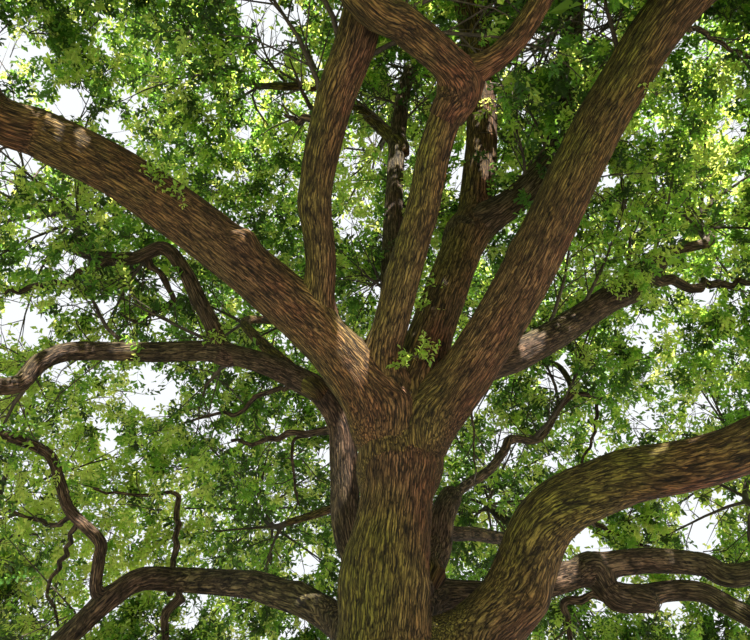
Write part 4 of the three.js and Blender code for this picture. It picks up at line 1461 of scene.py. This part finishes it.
def side_branches(limb, rng):
    """Branches all along and round a veiled limb, or on the far side of another bough's outer half."""
    curve = limb.curve
    veiled = limb.name in VEILED_LIMBS
    shares = VEIL_SHARES if veiled else SIDE_BRANCH_SHARES
    spacing = VEIL_SPACING if veiled else SIDE_BRANCH_SPACING
    count = 0 if limb.name in NO_SIDE_GROWTH else int((1 - shares[0]) * curve.length / spacing)
    share = between(shares, (np.arange(count) + rng.random(count)) / max(count, 1))
    roots = curve.point(share)
    along = curve.tangent(share)
    spin = 2 * math.pi * rng.random(count)
    angle = np.radians(between(SIDE_BRANCH_ANGLES, rng.random(count)))
    direction = side_directions(along, angle, spin)
    direction[:, 2] += SIDE_BRANCH_RISE
    if not veiled:
        away = unit(roots - EYE)
        facing = (direction * away).sum(-1, keepdims=True)
        direction = direction - np.minimum(facing - SIDE_BRANCH_AWAY, 0) * away
    direction = unit(direction)
    length = between(VEIL_LENGTH if veiled else SIDE_BRANCH_LENGTH, rng.random(count))[:, None]
    leave = unit(direction + SIDE_BRANCH_ALONG * along)
    return roots, roots + leave * BRANCH_KNEE * length, roots + direction * length


def side_growth(limb, salt):
    """A bough's own leafy side branches, kept within the frame's box and away from the viewer."""
    rng = np.random.default_rng(SIDE_SEED + salt)
    roots, middles, ends = side_branches(limb, rng)
    good = within_box(ends) & (np.linalg.norm(ends - EYE, axis=1) > SIDE_BRANCH_FROM_EYE)
    good &= roots[:, 2] > SIDE_BRANCH_FROM_HEIGHT
    branches = chosen((roots, middles, ends), good)

    def keep(bows, margin):
        return chosen(bows, within_box(bows[2]))

    return branches, *grow_levels(branches, True, keep, rng, SIDE_LIFT)


def leaf_mesh(roots, along, normal, length):
    """Lobed leaves: root + length (x along + y across + z normal), folded up along the midrib.

    Every second leaf has its lobes the other way about.
    """
    across = np.cross(normal, along)
    mirrored = np.arange(len(roots)) % 2 == 1
    across[mirrored] *= -1
    x, y = LEAF_OUTLINE.T[:, None, :, None]
    z = LEAF_FOLD * np.abs(y) - LEAF_CURL * x ** 2
    shape = along[:, None] * x + across[:, None] * y + normal[:, None] * z
    points, faces = copied(roots[:, None] + length[:, None, None] * shape, LEAF_FACES)
    flipped = np.repeat(mirrored, len(LEAF_FACES))
    faces[flipped] = faces[flipped][:, ::-1]
    return points, faces


def thinned(leaves, rng):
    """Drops most leaves that hang in an opening of the crown or in a sun gap."""
    roots, along, _, length, _ = leaves
    middles = roots + 0.5 * length[:, None] * along
    good = rng.random(len(roots)) < opening_share(unit(middles - EYE))
    good &= ~in_sun_gap(middles, SUN_GAP_LEAF_RIM) | (rng.random(len(roots)) < SUN_GAP_LEAVES)
    return chosen(leaves, good)


def leaves_on(shoots, sizes, counts, rng):
    """A rosette on each shoot: leaves near its tip, spread round it, tilted to the light."""
    shoot = np.repeat(np.arange(len(counts)), counts)
    k = np.arange(len(shoot)) - np.repeat(np.cumsum(counts) - counts, counts)
    down, power = LEAF_PLACES
    roots, line = on_bow(chosen(shoots, shoot), 1.0 - down * (k / counts[shoot]) ** power)
    spin = np.radians(GOLDEN_ANGLE) * k + 2 * math.pi * rng.random(len(counts))[shoot]
    spin = spin + LEAF_SPIN_WANDER * (rng.random(len(k)) - 0.5)
    along = side_directions(line, np.radians(between(LEAF_ANGLES, rng.random(len(k)))), spin)
    along[:, 2] -= LEAF_DROOP * rng.random(len(k))
    along = unit(along)
    tilt = [rng.normal(0, LEAF_TILT, len(k)) for _ in range(2)]
    light = np.stack([*tilt, np.ones(len(k))], axis=-1)
    normal = unit(light - along * (light * along).sum(-1, keepdims=True))
    length = sizes[shoot] * between(LEAF_LENGTH_WANDER, rng.random(len(k)))
    return roots, along, normal, length, shoot


# Materials


class Nodes:
    """Short calls for the shader nodes that the materials share."""

    def __init__(self, name):
        self.material = bpy.data.materials.new(name)
        self.material.use_nodes = True
        self.tree = self.material.node_tree
        self.shader = self.tree.nodes["Principled BSDF"]

    def put(self, socket, value):
        """Links a socket to another's output, or sets it to a plain value."""
        if isinstance(value, bpy.types.NodeSocket):
            self.tree.links.new(value, socket)
        else:
            socket.default_value = value

    def fill(self, node, **inputs):
        """Puts each value into the node's input of that name."""
        for key, value in inputs.items():
            self.put(node.inputs[key.replace("_", " ")], value)
        return node

    def add(self, kind, **inputs):
        """A new node of a kind, with its inputs filled."""
        return self.fill(self.tree.nodes.new(kind), **inputs)

    def surface(self, **inputs):
        """Fills inputs of the surface's own shader."""
        self.fill(self.shader, **inputs)

    def place(self):
        """Where a point lies in the piece's own axes."""
        return self.add("ShaderNodeTexCoord").outputs["Object"]

    def attribute(self, name, output="Fac"):
        """What the piece keeps at its points under a name."""
        node = self.add("ShaderNodeAttribute")
        node.attribute_name = name
        return node.outputs[output]

    def noise(self, vector, scale, detail, roughness=0.65):
        """A grey noise through space."""
        node = self.add("ShaderNodeTexNoise", Vector=vector, Scale=scale, Detail=detail, Roughness=roughness)
        return node.outputs["Fac"]

    def ramp(self, source, stops):
        """A colour or a grey for each place between the stops."""
        node = self.add("ShaderNodeValToRGB", Fac=source)
        while len(node.color_ramp.elements) < len(stops):
            node.color_ramp.elements.new(0.5)
        for element, (place, colour) in zip(node.color_ramp.elements, stops):
            element.position = place
            element.color = (*(colour if isinstance(colour, tuple) else (colour,) * 3), 1)
        return node.outputs["Color"]

    def mix(self, kind, factor, first, second):
        """Two colours put together by a factor."""
        node = self.add("ShaderNodeMix")
        node.data_type = "RGBA"
        node.blend_type = kind
        for i, value in ((0, factor), (6, first), (7, second)):
            self.put(node.inputs[i], value)
        return node.outputs[2]

    def math(self, kind, first, second):
        """A sum or product of two greys."""
        node = self.add("ShaderNodeMath")
        node.operation = kind
        self.put(node.inputs[0], first)
        self.put(node.inputs[1], second)
        return node.outputs[0]


def wandering(nodes, strand):
    """The grain plus a noise that pushes it sideways, so that the ridges wander."""
    drift = nodes.add("ShaderNodeTexNoise", Vector=strand, Scale=14.0, Detail=2.0)
    wander = nodes.add("ShaderNodeVectorMath")
    wander.operation = "MULTIPLY_ADD"
    for i, value in enumerate((drift.outputs["Color"], (RIDGE_WANDER, RIDGE_WANDER, 0.0), strand)):
        nodes.put(wander.inputs[i], value)
    return wander.outputs[0]


def bark_tints(nodes, patches, blots):
    """Brown bark, with rust, moss and the grey of painted shade mixed in by their own shares, each blotched
    by noise.
    """
    moss, rust, grey = (nodes.attribute(name) for name in ("moss", "rust", "grey"))
    shares = (
        (nodes.math("MULTIPLY", rust, nodes.ramp(blots, RUST_SPREAD)), RUSTY),
        (nodes.math("MULTIPLY", moss, nodes.ramp(patches, MOSS_SPREAD)), OLIVE),
        # Painted shade: darker, greyer bark on the limbs in deep shade
        (nodes.math("MULTIPLY", grey, SHADE_GREY_SHARE), SHADED),
    )
    colour = nodes.ramp(patches, BROWN)
    for share, tint in shares:
        colour = nodes.mix("MIX", share, colour, nodes.ramp(blots, tint))
    return colour


def bark_material():
    """Finely cracked oak bark: brown, rusty underneath, olive with algae on top, and greyer and darker as
    painted shade on limbs in deep shade.

    The cracks are edges of cells on the grain attribute, which runs along the limb, stretched and made
    to wander; they are darkened as painted shade, like the low streaks and the relief's fissures, and the
    ridge tops and high streaks are lightened as painted highlights. The moss, rust and grey attributes say
    where each colour lies, the grey one where the limbs' shade is painted.
    """
    nodes = Nodes("bark")
    place = nodes.place()
    grain = wandering(nodes, nodes.attribute("grain", "Vector"))

    def stretched(squeeze):
        return nodes.add("ShaderNodeMapping", Vector=grain, Scale=(1, 1, squeeze)).outputs["Vector"]

    edges = nodes.add("ShaderNodeTexVoronoi", Vector=stretched(0.09), Scale=52.0)
    edges.feature = "DISTANCE_TO_EDGE"
    ridges = edges.outputs["Distance"]
    streaks = nodes.noise(stretched(0.06), 118.0, 2.0)
    breaks = nodes.noise(stretched(0.30), 60.0, 3.0)
    colour = bark_tints(nodes, nodes.noise(place, 2.3, 4.0), nodes.noise(place, 7.0, 5.0))
    # Painted shade in ridge edges, low streaks and fissures, and painted highlights on ridge tops and high
    # streaks
    tones = ((ridges, RIDGE_CRACK_SHADE), (streaks, STREAK_SHADE_AND_HIGHLIGHT), (breaks, BREAK_TONES),
             (nodes.attribute("fissure"), FISSURE_SHADE))
    for source, stops in tones:
        colour = nodes.mix("MULTIPLY", 1.0, colour, nodes.ramp(source, stops))
    grooves = nodes.math("MULTIPLY", streaks, STREAK_HEIGHT)
    height = nodes.math("ADD", nodes.ramp(ridges, RIDGE_HEIGHTS), grooves)
    bump = nodes.add("ShaderNodeBump", Strength=0.9, Distance=0.007, Height=height)
    nodes.surface(Base_Color=colour, Roughness=0.9, Specular_IOR_Level=0.25, Normal=bump.outputs["Normal"])
    return nodes.material


def twig_material():
    """Grey-brown twig skin, darkened in soft patches and flecked."""
    nodes = Nodes("twig")
    place = nodes.place()
    patches = nodes.noise(place, 5.0, 2.0, 0.5)
    flecks = nodes.noise(place, 60.0, 3.0, 0.5)
    skin = nodes.ramp(patches, TWIG_SKIN)
    colour = nodes.mix("MULTIPLY", 0.8, skin, nodes.ramp(flecks, TWIG_FLECKS))
    nodes.surface(Base_Color=colour, Roughness=0.85)
    return nodes.material


def leaf_material(name, colour):
    """One plain leaf green, satin above and letting yellow-green light through."""
    nodes = Nodes(name)
    green = [share * part for share, part in zip(LEAF_REFLECTED, colour)]
    light = [min(most, gain * part + plain) for (gain, plain, most), part in zip(LEAF_THROUGH, colour)]
    nodes.surface(Base_Color=(*green, 1), Roughness=0.48, Specular_IOR_Level=0.4)
    through = nodes.add("ShaderNodeBsdfTranslucent", Color=(*light, 1))
    blend = nodes.add("ShaderNodeMixShader", Fac=LEAF_THROUGH_SHARE)
    nodes.put(blend.inputs[1], nodes.shader.outputs[0])
    nodes.put(blend.inputs[2], through.outputs[0])
    nodes.put(nodes.tree.nodes["Material Output"].inputs["Surface"], blend.outputs[0])
    return nodes.material


# The crown


def grow_crown():
    """Grows every mass and the boughs' own side branches: wood, twigs and shoots."""
    wood = []
    twigs = []
    shoots = []
    for salt, limb in enumerate(LIMBS_BUILT.values()):
        grown = [side_growth(limb, salt)]
        if limb.mass:
            stem, *levels = grow_mass(MASS_NAMES.index(limb.mass), limb)
            wood.append(stem_tube(stem, limb))
            grown.append(levels)
        for branches, some_twigs, some_shoots in grown:
            if len(branches[0]):
                wood.append(tubes(branches, *BRANCH_TUBE))
                twigs.append(some_twigs)
                shoots.append(some_shoots)
    return wood, stacked(twigs), stacked(shoots)


def stacked(sets):
    """One set of bows from many."""
    return tuple(np.vstack([bows[i] for bows in sets]) for i in range(3))


def cleared(shoots, balls, bare, rng):
    """Drops shoots that touch a limb, and most of those before a bare limb or over a sun spot."""
    tips = shoots[2]
    draw = rng.random(len(tips))
    good = gaps_to_balls(tips, balls) > LIMB_CLEARANCE
    good &= ~in_sun_gap(tips, SUN_GAP_RIM) | (draw < SUN_GAP_LEAVES)
    good &= rng.random(len(tips)) < opening_share(unit(0.5 * (tips + shoots[0]) - EYE))
    good &= ~before_limbs(tips, bare) | (draw < BARE_LEAVES)
    return chosen(shoots, good)


def fill_crown(twigs, shoots, wanted, keep, rng):
    """Rounds of twigs and shoots in the thin cells, each growing on from the tips of the last one."""
    tips = twigs[2]
    for _ in range(FILL_ROUNDS):
        more = fill_twigs(tips, shoots, wanted, rng)
        ends = sprout(more, SHOOTS_PER_TWIG, SHOOT_LENGTH, SHOOT_ANGLES, FILL_FROM, rng, FILL_LIFT)
        ends = keep(chosen(ends, within_box(ends[2])))
        twigs = stacked([twigs, more])
        shoots = stacked([shoots, ends])
        tips = more[2]
        if not len(tips):
            break
    return twigs, shoots


def build_crown(bark):
    """The crown's wood, shoots and leaves, with crowded parts of the view thinned and thin ones filled."""
    rng = np.random.default_rng(FILL_SEED)
    balls = limb_balls(LIMBS_BUILT, LIMB_BALLS)
    bare = limb_balls(BARE_LIMBS, LIMB_BALLS, BARE_UNTIL)
    wanted = wanted_cover()

    def keep(shoots):
        return cleared(shoots, balls, bare, rng)

    wood, twigs, shoots = grow_crown()
    small = [small_branch(row, rng) for row in SMALL_BRANCHES]
    small_branches_piece([tube for tube, _ in small], bark)
    bows = stacked([bow for _, bow in small])
    spurs = sprout(bows, SPURS, SPUR_LENGTH, SPUR_ANGLES, SPURS_FROM, rng, SPUR_LIFT)
    shoots = evened(keep(shoots), wanted, rng)
    twigs, shoots = fill_crown(stacked([twigs, spurs]), shoots, wanted * ~hidden_cells(bare), keep, rng)
    wood.append(tubes(twigs, *TWIG_TUBE))
    sprigs = grow_sprigs(rng)
    sizes = leaf_sizes(shoots[2])
    counts = leaf_counts(sizes) * np.where(casts_shade(shoots[2]), SHADE_LEAVES, 1)
    leaves = [thinned(leaves_on(shoots, sizes, counts, rng), rng)]
    count = len(sprigs[0])
    leaves.append(leaves_on(sprigs, np.full(count, SPRIG_LEAF), np.full(count, SPRIG_LEAVES), rng))
    return wood, [tubes(stacked([shoots, sprigs]), *SHOOT_TUBE)], leaves


def grow_sprigs(rng):
    """Short shoots that fan out from each sprig's place, mostly up and towards the viewer."""
    roots = np.repeat(np.array(SPRIGS), SPRIG_SHOOTS, axis=0)
    direction = rng.normal(0, 1, roots.shape) + np.array(SPRIG_TOWARD)
    ends = roots + unit(direction) * between(SPRIG_LENGTH, rng.random((len(roots), 1)))
    return roots, 0.5 * (roots + ends) + 0.01, ends


def curve_tube(curve, middles, radii, columns):
    """A closed tube round middles that follow a curve."""
    rows = len(middles)
    frames = ring_frames(curve.tangent(curve.even_shares(rows)))
    surface, _ = ring_surface(middles, np.repeat(radii[:, None], columns, axis=1), frames)
    return with_poles(surface), grid_triangles(rows, columns)


def stem_tube(stem, limb):
    """The stem goes on from its bough's tip and thins out as 1 - 0.72 share^0.8."""
    thinning, power = STEM_THINNING
    radii = limb.tip * STEM_SHARE * (1 - thinning * np.linspace(0, 1, STEM_ROWS) ** power)
    return curve_tube(stem, stem.point(stem.even_shares(STEM_ROWS)), radii, STEM_SIDES)


def small_branch(row, rng):
    """A thin crooked branch along its legs, knocked sideways at even steps, and a bow near its outer part."""
    name, parent, place, radius, legs = row
    limb = Limb((name, parent, place, radius, SMALL_BRANCH_TIP_SHARE * radius, None, legs), LIMBS_BUILT)
    curve = limb.curve
    rows = int(curve.length / SMALL_BRANCH_STEP) + 3
    shares = curve.even_shares(rows)
    walk = np.linspace(0, curve.length, rows)
    knots = np.linspace(0, curve.length, int(curve.length / CROOK_SPACING) + 3)
    knocks = rng.normal(0, CROOK_SHARE * radius, (len(knots), 3))
    knocks[0] = 0
    middles = curve.point(shares) + np.stack([np.interp(walk, knots, way) for way in knocks.T], -1)
    swell = 1 + SMALL_BRANCH_SWELL * (np.interp(walk, knots, rng.random(len(knots))) - 0.5)
    radii = limb.radius_at(shares) * swell
    salt = len(name) + SMALL_BRANCH_SALT * place
    turns = turns_round(SMALL_BRANCH_SIDES)
    grain = grain_at(turns, radii[:, None], walk[:, None], middles, salt).reshape(-1, 3)
    grain = np.vstack([grain, grain[:1], grain[-1:]])
    bow = (middles[rows // 3][None], middles[2 * rows // 3][None], middles[-1:])
    return (*curve_tube(curve, middles, radii, SMALL_BRANCH_SIDES), grain), bow


def small_branches_piece(tubes_of_bark, bark):
    """The small branches as one piece of bark, greyed and darkened all over as painted shade."""
    points, faces = joined([tube[:2] for tube in tubes_of_bark])
    count = len(points)
    attributes = {
        "grain": np.vstack([tube[2] for tube in tubes_of_bark]),
        "fissure": np.zeros(count),
        "moss": np.full(count, 0.15),
        "rust": np.full(count, 0.25),
        # Painted shade all over the small branches
        "grey": np.full(count, 1.0),
    }
    piece = make_mesh("small_branches", points, faces, attributes, bark)
    dress(piece, MASS_NAMES)


def joined(parts):
    """One set of points and faces from many."""
    first = np.cumsum([0] + [len(points) for points, _ in parts])
    faces = [faces + start for (_, faces), start in zip(parts, first)]
    return np.vstack([points for points, _ in parts]), np.vstack(faces)


def dealt(parts, limit):
    """Deals parts out in order into groups of fewer triangles than the limit."""
    groups = [[]]
    size = 0
    for part in parts:
        if size + len(part[1]) > limit:
            groups.append([])
            size = 0
        groups[-1].append(part)
        size += len(part[1])
    return groups


def painted_light_portion(rays):
    """Portion of the sprays that move towards the lighter greens as painted light, by the brighter parts of
    the crown.
    """
    portion = np.zeros(len(rays))
    for bearing, rise, width, most in PAINTED_LIGHT_AREAS:
        fade = ease(*LIGHT_EDGE, degrees_apart(rays, bearing, rise) / width)
        portion = np.maximum(portion, most * (1 - fade))
    return portion


def make_twigs(wood, shoots):
    """Joins the branches, twigs and shoots into pieces under the limit of triangles."""
    skin = twig_material()
    for name, parts in (("branches", wood), ("shoots", shoots)):
        for i, group in enumerate(dealt(parts, PIECE_LIMIT)):
            dress(make_mesh(f"{name}_{i + 1}", *joined(group), material=skin), MASS_NAMES)


def make_leaves(leaves):
    """Joins the leaves into one piece for each green, dealt out spray by spray.

    Each spray draws a place between the lightest green and the darkest. The sprigs move their places towards
    the lightest, and so do the sprays in the brighter parts of the crown, as painted light.
    """
    roots, along, normal, length = (np.concatenate([leaf[i] for leaf in leaves]) for i in range(4))
    first = np.cumsum([0] + [leaf[4].max() + 1 for leaf in leaves])
    spray = np.concatenate([leaf[4] + first[i] for i, leaf in enumerate(leaves)])
    rng = np.random.default_rng(GREEN_SEED)
    draw = rng.random(spray.max() + 1)
    draw[first[1]:] *= SPRIG_BRIGHTNESS
    # Sprays in the brighter parts of the crown get lighter greens: painted light
    lighter = rng.random(spray.max() + 1)[spray] < painted_light_portion(unit(roots - EYE))
    draw = draw[spray] * np.where(lighter, LIGHTER, 1.0)
    edges = np.cumsum([0] + [share for _, _, share in LEAF_COLOURS])
    for (name, colour, _), low, high in zip(LEAF_COLOURS, edges[:-1], edges[1:]):
        own = chosen((roots, along, normal, length), (draw >= low) & (draw < high))
        piece = make_mesh(name, *leaf_mesh(*own), material=leaf_material(name, colour), smooth=False)
        dress(piece, MASS_NAMES)


def make_crown(bark):
    """Grows the crown and makes its pieces."""
    wood, shoots, leaves = build_crown(bark)
    make_twigs(wood, shoots)
    make_leaves(leaves)


def make_bark(material):
    """The bark of the trunk and of each limb."""
    trunk_bark(material)
    for number, limb in enumerate(LIMBS_BUILT.values()):
        limb_bark(limb, material, FIRST_LIMB_SALT + LIMB_SALT_STEP * number)


# Studio


def make_floor():
    """A plain pale floor just under the tree's foot, for the looks only."""
    nodes = Nodes("floor")
    nodes.surface(Base_Color=(*FLOOR_COLOUR, 1), Roughness=0.9)
    corners = FLOOR_HALF * np.array([(-1, -1, 0), (1, -1, 0), (1, 1, 0), (-1, 1, 0)])
    floor = make_mesh("floor", corners, np.array([(0, 1, 2, 3)]), material=nodes.material, smooth=False)
    floor.location.z = -FLOOR_DROP


def make_light():
    """A bright white sky all round and one small sun, high on the right and a little behind."""
    world = bpy.data.worlds.new("sky")
    bpy.context.scene.world = world
    world.use_nodes = True
    sky = world.node_tree.nodes["Background"]
    sky.inputs["Color"].default_value = (*SKY_COLOUR, 1)
    sky.inputs["Strength"].default_value = SKY_STRENGTH
    sun = bpy.data.lights.new("sun", "SUN")
    sun.energy = SUN_STRENGTH
    sun.angle = math.radians(SUN_ANGLE)
    sun.color = SUN_COLOUR
    lamp = bpy.data.objects.new("sun", sun)
    lamp.rotation_euler = Vector(SUNWARD).to_track_quat("Z", "Y").to_euler()
    bpy.context.scene.collection.objects.link(lamp)


def make_camera():
    """The viewer's camera, at eye height and tilted up into the crown."""
    data = bpy.data.cameras.new("viewer")
    data.lens = LENS
    data.sensor_width = SENSOR
    data.sensor_fit = "HORIZONTAL"
    data.clip_end = SIGHT_END
    camera = bpy.data.objects.new("viewer", data)
    camera.location = EYE
    camera.rotation_euler = (math.radians(90 + LOOK_UP), 0, 0)
    bpy.context.scene.collection.objects.link(camera)
    bpy.context.scene.camera = camera


make_camera()
bark = bark_material()
make_bark(bark)
make_crown(bark)
make_floor()
make_light()
bpy.context.scene.view_settings.view_transform = "Standard"
